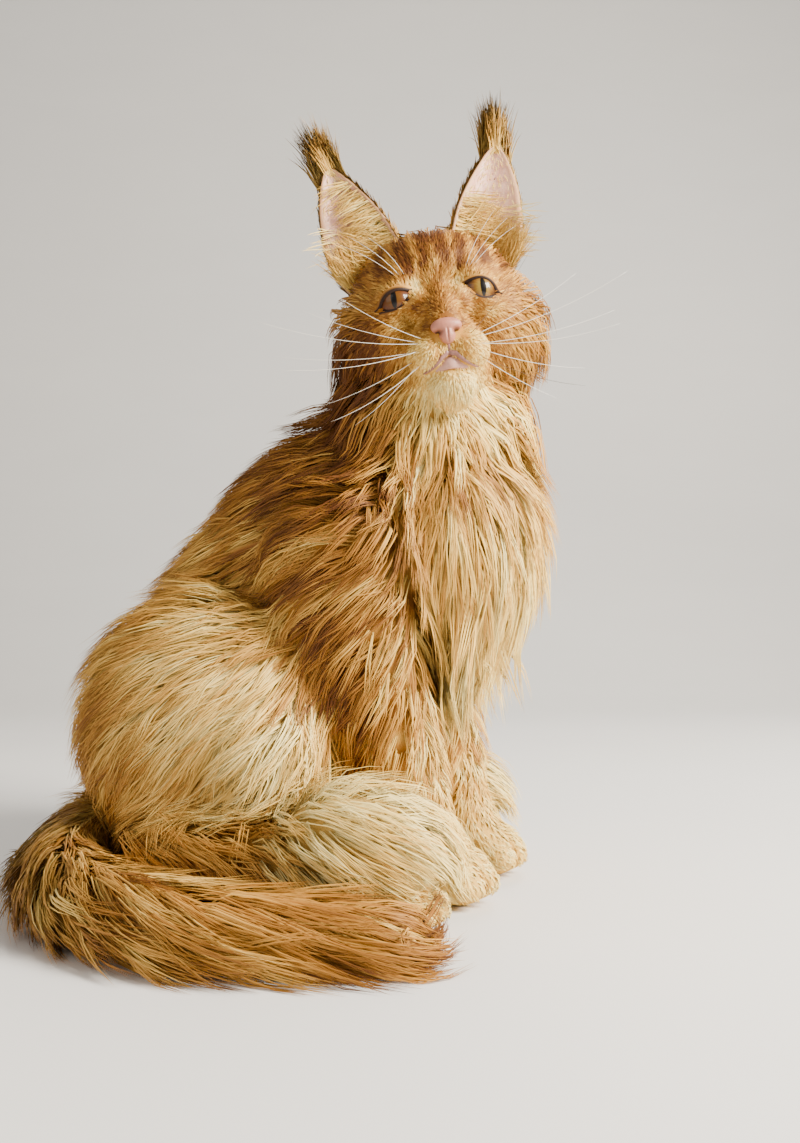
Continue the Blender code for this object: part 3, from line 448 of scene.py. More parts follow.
def foreleg_tone(points):
    """Brindled on the shoulder, barred at the elbow, and cream from the wrist down."""
    x, y, z = points.T
    high = swell(z, 0.05, 0.17)
    bars = np.sin((z + 0.3 * y) * 2 * math.pi / 0.030 + 0.6 + 0.8 * mottle(points, 0.03, 15))
    front = swell(0.045 - y, 0, 0.03)
    paw = swell(0.050 - z, 0, 0.03)
    tone = 0.38 + 0.26 * high + 0.25 * bars * swell(z, 0.04, 0.09) - 0.16 * front
    elbow = swell(z, 0.085, 0.110) * swell(0.160 - z, 0, 0.02) * swell(y, 0.030, 0.055)
    pale = np.exp(-(((np.abs(x) - 0.078) / 0.02) ** 2 + ((y - 0.021) / 0.013) ** 2 + ((z - 0.139) / 0.016) ** 2))
    tone = tone + 0.20 * elbow - 0.28 * pale
    # The clefts between the toes are darkened: painted shade in the creases.
    return tone * (1 - paw) + 0.04 * paw + 0.45 * between_toes(points)


def hindfoot_tone(points):
    """Cream in front, and orange where the heel lies under the haunch."""
    x, y, z = points.T
    heel = swell(y, 0.07, 0.12)
    side_on = 0.22 * swell(0.045 - z, 0, 0.03) * swell(y, 0.045, 0.075)
    # The clefts between the toes are darkened: painted shade in the creases.
    return 0.05 + 0.40 * heel + side_on + 0.08 * mottle(points, 0.02, 8) + 0.45 * between_toes(points)


def tail_tone(points):
    """Orange, with broad soft bars, and darker below."""
    x, y, z = points.T
    bars = np.sin(y * 2 * math.pi / 0.050 + 2 * mottle(points, 0.06, 9))
    fine_bars = 0.08 * mottle(points, 0.012, 16)
    return 0.47 + 0.12 * bars + fine_bars + 0.18 * swell(0.026 - z, 0, 0.02) + 0.15 * swell(0.13 - y, 0, 0.06)


PART_TONES = {"head": head_tone, "neck": neck_tone, "chest": chest_tone, "torso": torso_tone,
              "thigh": thigh_tone, "foreleg": foreleg_tone, "hindfoot": hindfoot_tone, "tail": tail_tone}


# The crease between the shoulder and the haunch, which is darkened as painted shade.
SHOULDER_CREASE_LINE = [(0.048, 0.102, 0.255), (0.065, 0.077, 0.200), (0.078, 0.051, 0.118)]


def tones(points, shares):
    """The markings' tone at each place, with painted shade darkening the crease between the shoulder and the haunch."""
    each = np.stack([PART_TONES[name.split("_")[0]](points) for name in PARTS], axis=1)
    mirrored = np.abs(points * (1, 0, 0)) + points * (0, 1, 1)
    # Painted shade along the crease between the shoulder and the haunch.
    crease_shade = np.maximum(*[near_line(mirrored, a, b, 0.013) for a, b in zip(SHOULDER_CREASE_LINE, SHOULDER_CREASE_LINE[1:])])
    haunch = sum(shares[:, i] for i, name in enumerate(PARTS) if name.startswith("thigh"))
    cream = near_line(mirrored, (0.062, 0.100, 0.190), (0.072, 0.076, 0.112), 0.013)
    return np.clip((each * shares).sum(axis=1) + (0.24 * crease_shade - 0.30 * cream) * (1 - haunch), 0, 1)


skin_shares = part_shares(skin_points)
skin_tones = tones(skin_points, skin_shares)


class Link:
    """A shader socket that takes part in Python arithmetic."""

    def __init__(self, tree, socket):
        self.tree, self.socket = tree, socket

    def node(self, kind, settings=(), output=0, **inputs):
        """A node of that kind, with its settings, and values or links for its sockets."""
        made = self.tree.nodes.new(kind)
        for name, value in dict(settings).items():
            if name == "stops":
                for stop, (place, colour) in zip(range(len(value)), value):
                    if stop > 1:
                        made.color_ramp.elements.new(place)
                    made.color_ramp.elements[stop].position = place
                    made.color_ramp.elements[stop].color = (*colour, 1)
            else:
                setattr(made, name, value)
        for name, value in inputs.items():
            at = made.inputs[int(name[1:])] if name[1:].isdigit() else made.inputs[name.replace("_", " ")]
            if isinstance(value, Link):
                self.tree.links.new(value.socket, at)
            else:
                at.default_value = value
        return Link(self.tree, made.outputs[output])

    def sum(self, operation, a, b=0.0):
        return self.node("ShaderNodeMath", {"operation": operation}, i0=a, i1=b)

    def __add__(self, other):
        return self.sum("ADD", self, other)

    def __radd__(self, other):
        return self.sum("ADD", other, self)

    def __sub__(self, other):
        return self.sum("SUBTRACT", self, other)

    def __rsub__(self, other):
        return self.sum("SUBTRACT", other, self)

    def __mul__(self, other):
        return self.sum("MULTIPLY", self, other)

    def __rmul__(self, other):
        return self.sum("MULTIPLY", other, self)

    def __truediv__(self, other):
        return self.sum("DIVIDE", self, other)

    def __pow__(self, other):
        return self.sum("POWER", self, other)

    def between(self, low, high):
        """0 below low, 1 above high, smooth between them."""
        return self.node("ShaderNodeMapRange", {"interpolation_type": "SMOOTHSTEP"}, Value=self,
                         From_Min=low, From_Max=high)

    def mixed(self, colour_a, colour_b):
        """Colour a where this is 0, and colour b where it is 1."""
        return self.node("ShaderNodeMix", {"data_type": "RGBA"}, 2, i0=self, i6=colour_a, i7=colour_b)


def finish(name):
    """A new material, its shader, and a start for its links."""
    material = bpy.data.materials.new(name)
    material.use_nodes = True
    tree = material.node_tree
    return material, tree.nodes["Principled BSDF"], Link(tree, None)


def measured(start, name):
    """A number that the mesh holds at each point."""
    return start.node("ShaderNodeAttribute", {"attribute_name": name}, 2)


HAIR_COLOURS = [(0.0, (0.97, 0.76, 0.29)), (0.16, (0.90, 0.585, 0.145)), (0.40, (0.62, 0.32, 0.061)),
                (0.66, (0.36, 0.147, 0.020)), (1.0, (0.11, 0.033, 0.005))]


def fill(shader, **values):
    """Sets the shader's sockets to values or links."""
    for name, value in values.items():
        socket = shader.inputs[name.replace("_", " ")]
        if isinstance(value, Link):
            value.tree.links.new(value.socket, socket)
        else:
            socket.default_value = value


skin_finish, shader, start = finish("skin_and_down")
tone = measured(start, "tone")
fine = start.node("ShaderNodeTexNoise", Scale=900.0, Detail=3.0)
# The down is taken 0.08 darker in tone and then multiplied darker still: painted shade of the depth beneath the hair.
down = start.node("ShaderNodeValToRGB", {"stops": HAIR_COLOURS}, Fac=tone + (fine - 0.5) * 0.25 + 0.08)
down_with_painted_shade = start.node("ShaderNodeMix", {"data_type": "RGBA", "blend_type": "MULTIPLY"}, 2, i0=1.0,
                    i6=down, i7=(0.80, 0.72, 0.64, 1))
bump = start.node("ShaderNodeBump", Strength=0.5, Distance=0.0006, Height=fine)
fill(shader, Base_Color=down_with_painted_shade, Roughness=0.85, Normal=bump)
shader.inputs["Specular IOR Level"].default_value = 0.2


def give_numbers(mesh, **arrays):
    """Stores numbers at the mesh's points for its material."""
    for name, values in arrays.items():
        attribute = mesh.attributes.new(name, "FLOAT", "POINT")
        attribute.data.foreach_set("value", np.asarray(values, np.float32))


def show(obj, material, slot, *nodes):
    """Puts the finished piece in the frame: where it is, what it rides on, and what it stands for."""
    obj.data.transform(Matrix.Translation(FRAME_SHIFT))
    obj.data.materials.clear()
    obj.data.materials.append(material)
    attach(obj, "root")
    if nodes:
        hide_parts(*nodes)
    return obj


give_numbers(skin.data, tone=skin_tones)
skin.data.shade_smooth()
skin_tree = BVHTree.FromPolygons([v.co for v in skin.data.vertices], [p.vertices for p in skin.data.polygons])
bpy.context.view_layer.objects.active = skin
skin.select_set(True)
bpy.ops.object.mode_set(mode="EDIT")
bpy.ops.mesh.select_all(action="SELECT")
bpy.ops.uv.smart_project(angle_limit=math.radians(66), island_margin=0.002)
bpy.ops.object.mode_set(mode="OBJECT")
skin.data.uv_layers[0].name = "OFBake"

# The coat. Each hair of the model is a lock of many real hairs: a thin closed blade of three sides
# that leaves the skin, lies along the coat and tapers to a point. Locks start in tufts that draw
# together towards their tips.

TUFT_PATCH = 0.003
HAIR_STEPS = 8


class Skin:
    """The skin as triangles to plant hair on."""

    def __init__(self, obj, shares):
        mesh = obj.data
        mesh.calc_loop_triangles()
        count = len(mesh.loop_triangles)
        corners, loops = np.empty(count * 3, int), np.empty(count * 3, int)
        mesh.loop_triangles.foreach_get("vertices", corners)
        mesh.loop_triangles.foreach_get("loops", loops)
        self.corners = corners.reshape(-1, 3)
        self.points = spots(mesh)
        uvs = np.empty(len(mesh.loops) * 2)
        mesh.uv_layers["OFBake"].data.foreach_get("uv", uvs)
        self.uvs = uvs.reshape(-1, 2)[loops.reshape(-1, 3)]
        normals = np.empty(len(mesh.vertices) * 3)
        mesh.vertices.foreach_get("normal", normals)
        self.normals = normals.reshape(-1, 3)
        self.shares = shares
        a, b, c = (self.points[self.corners[:, i]] for i in range(3))
        self.areas = np.linalg.norm(np.cross(b - a, c - a), axis=1) / 2
        self.middles = (a + b + c) / 3
        self.middle_shares = shares[self.corners].mean(axis=1)

    def roots(self, spacing, seed, spread=True):
        """Places on the skin at a spacing that is given for each triangle, 0 for none: their points,
        normals, shares of the parts and places on the unwrap."""
        rng = np.random.default_rng(seed)
        wanted = np.where(spacing > 0, self.areas / np.maximum(spacing, 1e-6) ** 2, 0)
        tries = int(wanted.sum() * (5 if spread else 1.15))
        chosen = rng.choice(len(wanted), tries, p=wanted / wanted.sum())
        u, v = rng.random(tries), rng.random(tries)
        over = u + v > 1
        u, v = np.where(over, 1 - u, u), np.where(over, 1 - v, v)
        weights = np.stack([1 - u - v, u, v], axis=1)
        corners = self.corners[chosen]
        points = (self.points[corners] * weights[:, :, None]).sum(axis=1)
        kept = np.arange(tries)
        if spread:
            cells, kept = {}, []
            gaps = spacing[chosen]
            cell_size = gaps.max()
            for i, (point, gap) in enumerate(zip(points.tolist(), gaps.tolist())):
                cell = tuple(int(math.floor(c / cell_size)) for c in point)
                crowded = False
                for dx in (-1, 0, 1):
                    for dy in (-1, 0, 1):
                        for dz in (-1, 0, 1):
                            for other in cells.get((cell[0] + dx, cell[1] + dy, cell[2] + dz), ()):
                                if math.dist(point, other) < gap * 0.8:
                                    crowded = True
                                    break
                            if crowded:
                                break
                        if crowded:
                            break
                    if crowded:
                        break
                if not crowded:
                    cells.setdefault(cell, []).append(point)
                    kept.append(i)
            kept = np.array(kept)
        weights, corners = weights[kept], corners[kept]
        normals = (self.normals[corners] * weights[:, :, None]).sum(axis=1)
        normals /= np.linalg.norm(normals, axis=1, keepdims=True)
        return (points[kept], normals, (self.shares[corners] * weights[:, :, None]).sum(axis=1),
                (self.uvs[chosen[kept]] * weights[:, :, None]).sum(axis=1))


body_skin = Skin(skin, skin_shares)


def unit(vectors):
    return vectors / np.maximum(np.linalg.norm(vectors, axis=-1, keepdims=True), 1e-9)


def head_lie(points):
    """Away from the nose and back over the cheeks, and down from their lower rim and over the nape."""
    front, left, up = head_places(points).T
    low = swell(-up, -8, 26) * swell(np.abs(left), 14, 40)
    away = unit(points - np.array(on_head(64, 0, -16))) - 0.35 * np.array(HEAD_FRONT)
    behind = swell(-front, -2, 34)
    return unit(away * (1 - 0.75 * behind)[:, None] + np.outer(low + 1.5 * behind, (0, 0, -1.0)))


THROAT = np.array(on_head(22, 0, -30))


def ruff_lie(points):
    """Out from under the chin and down, and back over the nape."""
    nape = swell(points[:, 1], 0.045, 0.085)[:, None]
    high = swell(points[:, 2], 0.265, 0.300)
    out = unit(unit(points - THROAT) + np.outer(0.55 + 0.85 * high, (0, 0, -1)))
    back = np.stack([np.zeros(len(points)), 0.75 - 0.72 * high, np.full(len(points), -0.66)], axis=1)
    return unit(out * (1 - nape) + back * nape)


def chest_lie(points):
    """Down the chest, a little outwards."""
    return unit(0.55 * unit(points - THROAT) + np.array((0, 0, -0.9)))


def torso_lie(points):
    """Back along the flanks, and steeper the lower it is."""
    steep = np.clip((0.26 - points[:, 2]) / 0.16, 0, 1)
    return unit(np.stack([np.zeros(len(points)), np.ones(len(points)), -0.45 - 1.0 * steep], axis=1))


def thigh_lie(points):
    """Back over the top of the haunch, and steeply down its lower half."""
    steep = np.clip((0.17 - points[:, 2]) / 0.10, 0, 1)
    return unit(np.stack([np.zeros(len(points)), np.full(len(points), 0.75), -0.38 - 0.85 * steep], axis=1))


def hindfoot_lie(points):
    """Over the foot and forwards."""
    return unit(np.tile((0, -1.0, -0.42), (len(points), 1)))


def foreleg_lie(points):
    """Back and down over the shoulder, and down the leg."""
    steep = np.clip((0.20 - points[:, 2]) / 0.10, 0, 1)
    low = swell(0.05 - points[:, 2], 0, 0.03)
    return unit(np.stack([np.zeros(len(points)), (0.8 - 0.5 * steep) * (1 - low) - 0.7 * low,
                          -0.45 - 0.65 * steep + 0.4 * low], axis=1))


tail_shares = np.linspace(0, 1, 81)
tail_line = np.array([blended(TAIL_PATH, t) for t in tail_shares])
tail_ways = unit(np.gradient(tail_line, axis=0))


def along_tail(points):
    """How far along the tail each place is, the tail's middle there, and the way to its tip."""
    near = np.argmin(np.linalg.norm(points[:, None] - tail_line[None], axis=2), axis=1)
    return tail_shares[near], tail_line[near], tail_ways[near]


BODY_MIDDLE = np.array((0.0, 0.11, 0.02))


def tail_lie(points):
    """Along the tail towards its tip, and spread away from its middle."""
    _, middle, ahead = along_tail(points)
    spread = points - middle
    spread[:, 2] *= 0.3
    outer = swell(((points - middle) * unit(middle - BODY_MIDDLE)).sum(axis=1), -0.006, 0.006)
    return unit(ahead + unit(spread) * (0.12 + 0.5 * outer)[:, None] + np.array((0, 0, -0.12)))


PART_LIES = {"head": head_lie, "neck": ruff_lie, "chest": chest_lie, "torso": torso_lie,
             "thigh": thigh_lie, "foreleg": foreleg_lie, "hindfoot": hindfoot_lie, "tail": tail_lie}


def lie(points, shares):
    """Which way the hair points at each place."""
    each = np.stack([PART_LIES[name.split("_")[0]](points) for name in PARTS], axis=1)
    return unit((each * shares[:, :, None]).sum(axis=1))


def nearest_skin(points, tree):
    near, out = np.empty_like(points), np.empty_like(points)
    for i, point in enumerate(points):
        place, normal, _, _ = tree.find_nearest(point)
        near[i], out[i] = place, normal
    return near, out


def combed(points, normals, shares, length, rise, curve, pull, bend, seed, tree, floor=0.001):
    """The paths of hairs from their roots to their tips, of a length and rise for each hair."""
    steps = HAIR_STEPS
    cling = np.clip(pull / 0.4, 0, 1)[:, None]
    rng = np.random.default_rng(seed)
    wild = rng.normal(scale=bend, size=points.shape)
    paths = np.empty((len(points), steps + 1, 3))
    outs = np.empty_like(paths)
    paths[:, 0], outs[:, 0] = points - normals * 0.0012, normals
    place = points.copy()
    heading = lie(points, shares) + wild
    heading = unit(heading - normals * (heading * normals).sum(axis=1, keepdims=True))
    for step in range(1, steps + 1):
        place = place + heading * (length / steps)[:, None]
        near, out = nearest_skin(place, tree)
        away = place - near
        height = (away * out).sum(axis=1)
        outside = unit(away) * np.sign(height)[:, None]
        out = np.where(np.linalg.norm(away, axis=1, keepdims=True) > 0.0005, outside, out)
        target = rise * (step / steps) ** curve
        lift = np.where(height < target, target - height, (target - height) * pull)
        place = place + out * lift[:, None]
        place[:, 2] = np.maximum(place[:, 2], floor)
        way = lie(place, shares) + wild
        way = way - out * cling * (way * out).sum(axis=1, keepdims=True)
        heading = heading + 0.4 * way
        heading = unit(heading - out * 0.6 * cling * (heading * out).sum(axis=1, keepdims=True))
        paths[:, step], outs[:, step] = place, out
    return paths, outs


def tufted(paths, outs, count, radius, seed, gather=0.72, uneven=0.25, wave=0.0, stray=0.0):
    """Several hairs round each path, which draw together at its tip. Returns their paths, their
    outward ways and the number of the path that each follows."""
    rng = np.random.default_rng(seed)
    owner = np.repeat(np.arange(len(paths)), count)
    base, out = paths[owner], outs[owner]
    ahead = unit(np.gradient(base, axis=1))
    side = unit(np.cross(ahead, out))
    angle = rng.uniform(0, 2 * math.pi, len(owner))
    reach = np.sqrt(rng.random(len(owner))) * (radius[owner] if np.ndim(radius) else radius)
    share = np.linspace(0, 1, base.shape[1])[None, :, None]
    apart = 1 - gather * share ** 0.8
    sway = np.sin(share * rng.uniform(3, 7, (len(owner), 1, 1)) + rng.uniform(0, 6.3, (len(owner), 1, 1)))
    astray = rng.normal(scale=stray, size=(len(owner), 2))
    offset = side * (np.cos(angle) * reach)[:, None, None] + out * (0.45 * np.sin(angle) * reach)[:, None, None]
    loose = side * astray[:, :1, None] + out * (0.6 * np.abs(astray[:, 1:, None]))
    back = unit(ahead[:, :1]) * (np.sin(angle) * reach)[:, None, None]
    made = base + offset * apart + back * (1 - share) + side * sway * (wave * share) + loose * share ** 1.5
    short = 1 - uneven * rng.random(len(owner))
    steps = base.shape[1] - 1
    places = np.linspace(0, 1, steps + 1)[None] * short[:, None] * steps
    low = np.minimum(places.astype(int), steps - 1)
    part = (places - low)[:, :, None]
    row = np.arange(len(owner))[:, None]
    made = made[row, low] * (1 - part) + made[row, low + 1] * part
    made[:, :, 2] = np.maximum(made[:, :, 2], 0.0008)
    return made, out, owner


def blades(name, paths, outs, widths, numbers, root_uvs, steps=(0, 2, 4, 6, 8), profile=(0.8, 1.0, 0.85, 0.5),
           smooth_shade=0.55):
    """One mesh of closed three-sided blades that follow the paths and end in points."""
    path = paths[:, list(steps)]
    out = outs[:, list(steps)]
    count, rings = len(path), len(steps) - 1
    ahead = unit(np.gradient(path, axis=1))
    side = unit(np.cross(ahead, out))
    up = unit(np.cross(side, ahead))
    half = (widths[:, None] * np.array(profile)[None] / 2)[:, :, None]
    left = path[:, :rings] - side[:, :rings] * half
    right = path[:, :rings] + side[:, :rings] * half
    top = path[:, :rings] + up[:, :rings] * half * 0.9
    rows = np.stack([left, right, top], axis=2).reshape(count, rings * 3, 3)
    points = np.concatenate([rows, path[:, -1:]], axis=1)
    size = rings * 3 + 1
    start = (np.arange(count) * size)[:, None]
    quads = []
    for ring in range(rings - 1):
        a = ring * 3
        for one, two in ((1, 0), (2, 1), (0, 2)):
            quads.append((a + one, a + two, a + two + 3, a + one + 3))
    quads = (np.array(quads, int)[None] + start[:, :, None]).reshape(-1, 4)
    a = (rings - 1) * 3
    tips = np.array([(0, 1, 2), (a + 1, a, size - 1), (a + 2, a + 1, size - 1), (a, a + 2, size - 1)])
    tips = (tips[None] + start[:, :, None]).reshape(-1, 3)
    mesh = bpy.data.meshes.new(name)
    mesh.vertices.add(count * size)
    mesh.vertices.foreach_set("co", points.ravel())
    mesh.loops.add(quads.size + tips.size)
    corners = np.concatenate([quads.ravel(), tips.ravel()])
    mesh.loops.foreach_set("vertex_index", corners)
    mesh.polygons.add(len(quads) + len(tips))
    mesh.polygons.foreach_set("loop_start", np.concatenate(
        [np.arange(len(quads)) * 4, quads.size + np.arange(len(tips)) * 3]))
    mesh.update(calc_edges=True)
    mesh.polygons.foreach_set("use_smooth", np.ones(len(mesh.polygons), bool))
    share = np.concatenate([np.repeat(np.array(steps[:-1]) / steps[-1], 3), [1.0]])
    across = np.concatenate([np.tile([-0.5, 0.5, 0.0], rings), [0.0]])
    uv = root_uvs[:, None] + TUFT_PATCH * np.stack([across, share], axis=1)[None]
    uv = uv.reshape(-1, 2)[corners]
    mesh.uv_layers.new(name="OFBake").data.foreach_set("uv", uv.ravel())
    give_numbers(mesh, along=np.tile(share, count),
                 **{key: np.repeat(value, size) for key, value in numbers.items()})
    middle = path[:, :rings, None]
    own = unit(np.stack([left, right, top], axis=2) - middle + up[:, :rings, None] * half[:, :, None] * 0.25)
    own = np.concatenate([own.reshape(count, rings * 3, 3), up[:, -1:]], axis=1)
    body = np.concatenate([np.repeat(out[:, :rings], 3, axis=1), out[:, -1:]], axis=1)
    normals = unit(own * (1 - smooth_shade) + body * smooth_shade).reshape(-1, 3)
    mesh.normals_split_custom_set_from_vertices(normals.astype(np.float32))
    obj = bpy.data.objects.new(name, mesh)
    bpy.context.scene.collection.objects.link(obj)
    return obj


coat_finish, shader, start = finish("coat_hair")
tone, along, chance = (measured(start, name) for name in ("tone", "along", "chance"))
ticked = tone + (along.between(0.15, 1.0) - 0.45) * 0.16 + (chance - 0.5) * 0.12
hair = start.node("ShaderNodeValToRGB", {"stops": HAIR_COLOURS}, Fac=ticked)
fill(shader, Base_Color=hair, Roughness=0.55)
shader.inputs["Specular IOR Level"].default_value = 0.2

PART_HAIR = {"head": (0.020, 0.006, 0.7, 0.45), "neck": (0.062, 0.032, 0.45, 0.25),
             "chest": (0.080, 0.027, 0.55, 0.08), "torso": (0.052, 0.025, 0.7, 0.45),
             "thigh": (0.050, 0.020, 0.7, 0.35), "foreleg": (0.036, 0.010, 0.7, 0.45),
             "hindfoot": (0.050, 0.019, 0.6, 0.25), "tail": (0.074, 0.040, 0.6, 0.30)}


def part_share(shares, *names):
    return sum(shares[:, i] for i, name in enumerate(PARTS) if name.split("_")[0] in names or name in names)


def head_hair(points):
    """The length and rise of the head's hair: shortest on the muzzle and bridge and round the eyes,
    and longest on the rim of the cheeks and behind them."""
    front, left, up = head_places(points).T
    away = np.linalg.norm(np.stack([front - 58, left, up + 26], axis=1), axis=1)
    near_eye = np.minimum(*[np.linalg.norm(eye_places(points, side), axis=1) for side in SIDES.values()])
    length = 0.0035 + 0.004 * swell(away, 20, 50) + 0.012 * swell(away, 52, 95)
    length *= 0.55 + 0.45 * swell(near_eye, 11, 24)
    cheek = swell(np.abs(left), 32, 49) * swell(-up, -26, -4) * swell(-front, -34, -12)
    below = swell(-up, 30, 50) * swell(-front, -30, -10)
    behind = swell(-front, 8, 34) * swell(-up, -34, -4)
    rim = np.clip(cheek + below + 0.8 * behind, 0, 1)
    rise = 0.0013 + 0.0035 * swell(away, 30, 90)
    chin = swell(-up, 50, 60) * swell(front, 25, 38)
    return (length * (1 - rim) + 0.048 * rim + 0.008 * chin,
            rise * (1 - rim) + 0.0205 * rim + 0.004 * chin, np.clip(rim + chin, 0, 1))


def hair_sizes(points, normals, shares):
    """The length of the hair at each place, how high its tips stand over the skin, how soon they rise
    (low for hair that stands up from its root), and how closely hair that hangs free follows the skin."""
    each = np.array([PART_HAIR[name.split("_")[0]] for name in PARTS])
    length, rise, curve, pull = (shares @ each).T
    z = points[:, 2]
    head = part_share(shares, "head")
    head_length, head_rise, rim = head_hair(points)
    curve = curve - 0.2 * head * rim
    pull = pull - 0.36 * head * rim
    nape = part_share(shares, "neck") * swell(normals[:, 1], 0.0, 0.7)
    high = swell(z, 0.280, 0.302)
    rise = rise - nape * (0.011 * high + 0.027 * (1 - high))
    length = length - 0.026 * nape
    curve = curve + 0.25 * nape * (1 - high)
    pull = pull + 0.25 * nape * (1 - high)
    flank = (part_share(shares, "neck", "chest") * (1 - nape) * (1 - high)
             * swell(points[:, 1] + 0.6 * np.abs(points[:, 0] + 0.01), 0.005, 0.045))
    length = length * (1 - 0.38 * flank)
    rise = rise * (1 - 0.18 * flank)
    throat = part_share(shares, "neck") * (1 - nape) * swell(z, 0.272, 0.300)
    rise = rise + 0.004 * throat
    curve = curve - 0.15 * throat
    withers = part_share(shares, "torso") * swell(z, 0.215, 0.240)
    rise = rise - 0.009 * withers
    length += head * (head_length - PART_HAIR["head"][0])
    rise += head * (head_rise - PART_HAIR["head"][1])
    low_chest = part_share(shares, "chest") * swell(0.225 - z, 0, 0.04)
    length += 0.022 * low_chest
    rise -= 0.008 * low_chest * swell(0.20 - z, 0, 0.03)
    hanging = part_share(shares, "thigh", "torso") * swell(0.10 - z, 0, 0.04) * swell(points[:, 1], 0.06, 0.12)
    pull = pull * (1 - 0.8 * hanging)
    length = length + 0.012 * hanging
    leg = part_share(shares, "foreleg")
    low = swell(0.11 - z, 0, 0.05) * leg
    behind = swell(normals[:, 1], -0.1, 0.6) * leg * swell(z, 0.03, 0.05)
    length = length * (1 - 0.70 * low) + 0.014 * behind * low
    rise = rise * (1 - 0.74 * low) + 0.003 * behind * low
    foot = part_share(shares, "hindfoot") * swell(0.042 - z, 0, 0.018)
    length = length * (1 - 0.6 * foot)
    rise = rise * (1 - 0.65 * foot)
    toe = part_share(shares, "foreleg", "hindfoot") * swell(0.034 - z, 0, 0.010) * swell(0.012 - points[:, 1], 0, 0.02)
    length = length * (1 - 0.5 * toe)
    rise = rise * (1 - 0.5 * toe)
    step = np.where(points[:, 0] > 0, HIND_STEP["left"], HIND_STEP["right"])
    hind_toes = part_share(shares, "hindfoot") * swell(step + 0.018 - points[:, 1], 0, 0.02) * swell(0.055 - z, 0, 0.02)
    length = length * (1 - 0.72 * hind_toes)
    rise = rise * (1 - 0.72 * hind_toes)
    tail = part_share(shares, "tail")
    share, middle, _ = along_tail(points)
    full = np.sin(math.pi * (0.12 + 0.68 * share))
    flat = 0.42 + 0.58 * np.abs(np.hypot(normals[:, 0], normals[:, 1]))
    inner = swell(-((points - middle) * unit(middle - BODY_MIDDLE)).sum(axis=1), -0.004, 0.006)
    flat *= 1 - 0.55 * inner
    rise = rise * (1 - tail) + tail * 0.043 * full * flat
    length = length * (1 - tail) + tail * 0.078 * (0.55 + 0.45 * full)
    return length, rise, curve, pull


def bare_face(points):
    """True on the eyes, the nose and the lips."""
    front, left, up = head_places(points).T
    bare = np.zeros(len(points), bool)
    for side in SIDES.values():
        bare |= in_eye(points, side, 1.26) < 1.0
    bare |= (np.abs(left) < 8.0) & (up > -31) & (up < -20.5) & (front > 54)
    bare |= (np.abs(left) < 1.0) & (up < -29) & (up > -43) & (front > 50)
    mirrored = np.stack([front, np.abs(left), up], axis=1)
    bare |= near_line(mirrored, (60, 1, -41.5), (57, 9, -45.6), 1.6) > 0.4
    bare |= near_line(mirrored, (57, 9, -45.6), (50, 16, -47.5), 2.0) > 0.4
    bare |= (np.abs(left) < 8.5) & (up < -40.5 - 0.35 * np.abs(left)) & (up > -45.6) & (front > 50)
    return bare


def can_grow(points, normals):
    """False where the skin rests on the floor, or faces more skin close by."""
    free = (points[:, 2] > 0.006) & ~((normals[:, 2] < -0.6) & (points[:, 2] < 0.03))
    for i in np.nonzero(free)[0]:
        free[i] = skin_tree.ray_cast(points[i] + normals[i] * 0.001, normals[i], 0.007)[0] is None
    return free & ~bare_face(points)


triangle_normals = unit(body_skin.normals[body_skin.corners].mean(axis=1))
triangle_length, *_ = hair_sizes(body_skin.middles, triangle_normals, body_skin.middle_shares)
open_skin = can_grow(body_skin.middles, triangle_normals)
BLADE_RINGS = {2: ((0, 4, 8), (0.9, 0.8)), 3: ((0, 3, 6, 8), (0.85, 1.0, 0.6)),
               4: ((0, 2, 4, 6, 8), (0.8, 1.0, 0.85, 0.5))}


def grow(name, where, wanted, hairs, radius, width, rings, seed, gather=0.75, wave=0.0010, bend=0.18,
         stray=0.0015, tree=skin_tree):
    """A piece of coat on the part of the skin where that is true, of about the wanted number of hairs
    in tufts of so many hairs."""
    where = where & open_skin
    gap = math.sqrt(0.95 * body_skin.areas[where].sum() * hairs / wanted)
    points, normals, shares, uvs = body_skin.roots(np.where(where, gap, 0.0), seed, spread=hairs > 2)
    kept = ~bare_face(points)
    points, normals, shares, uvs = points[kept], normals[kept], shares[kept], uvs[kept]
    length, rise, curve, pull = hair_sizes(points, normals, shares)
    rng = np.random.default_rng(seed + 1)
    layer = rng.uniform(0.42, 1.0, len(points)) ** 0.8
    length = length * rng.uniform(0.78, 1.12, len(points))
    paths, outs = combed(points, normals, shares, length, rise * layer, curve, pull, bend, seed + 2, tree)
    mark = tones(points, shares) + rng.normal(scale=0.085, size=len(points))
    paths, outs, owner = tufted(paths, outs, hairs, radius, seed + 3, gather, wave=wave, stray=stray)
    rng = np.random.default_rng(seed + 4)
    count = len(owner)
    widths = width * rng.uniform(0.7, 1.25, count)
    numbers = {"tone": mark[owner] + rng.normal(scale=0.05, size=count), "chance": rng.random(count)}
    obj = blades(name, paths, outs, widths, numbers, uvs[owner], *BLADE_RINGS[rings])
    show(obj, coat_finish, "coat")
    print("coat", name, "tufts", len(points), "hairs", count, "triangles", count * (6 * rings - 2), "gap", round(gap * 1000, 2))
    return obj


def mostly(*names):
    """Where the skin belongs mostly to these parts."""
    return part_share(body_skin.middle_shares, *names) > 0.5


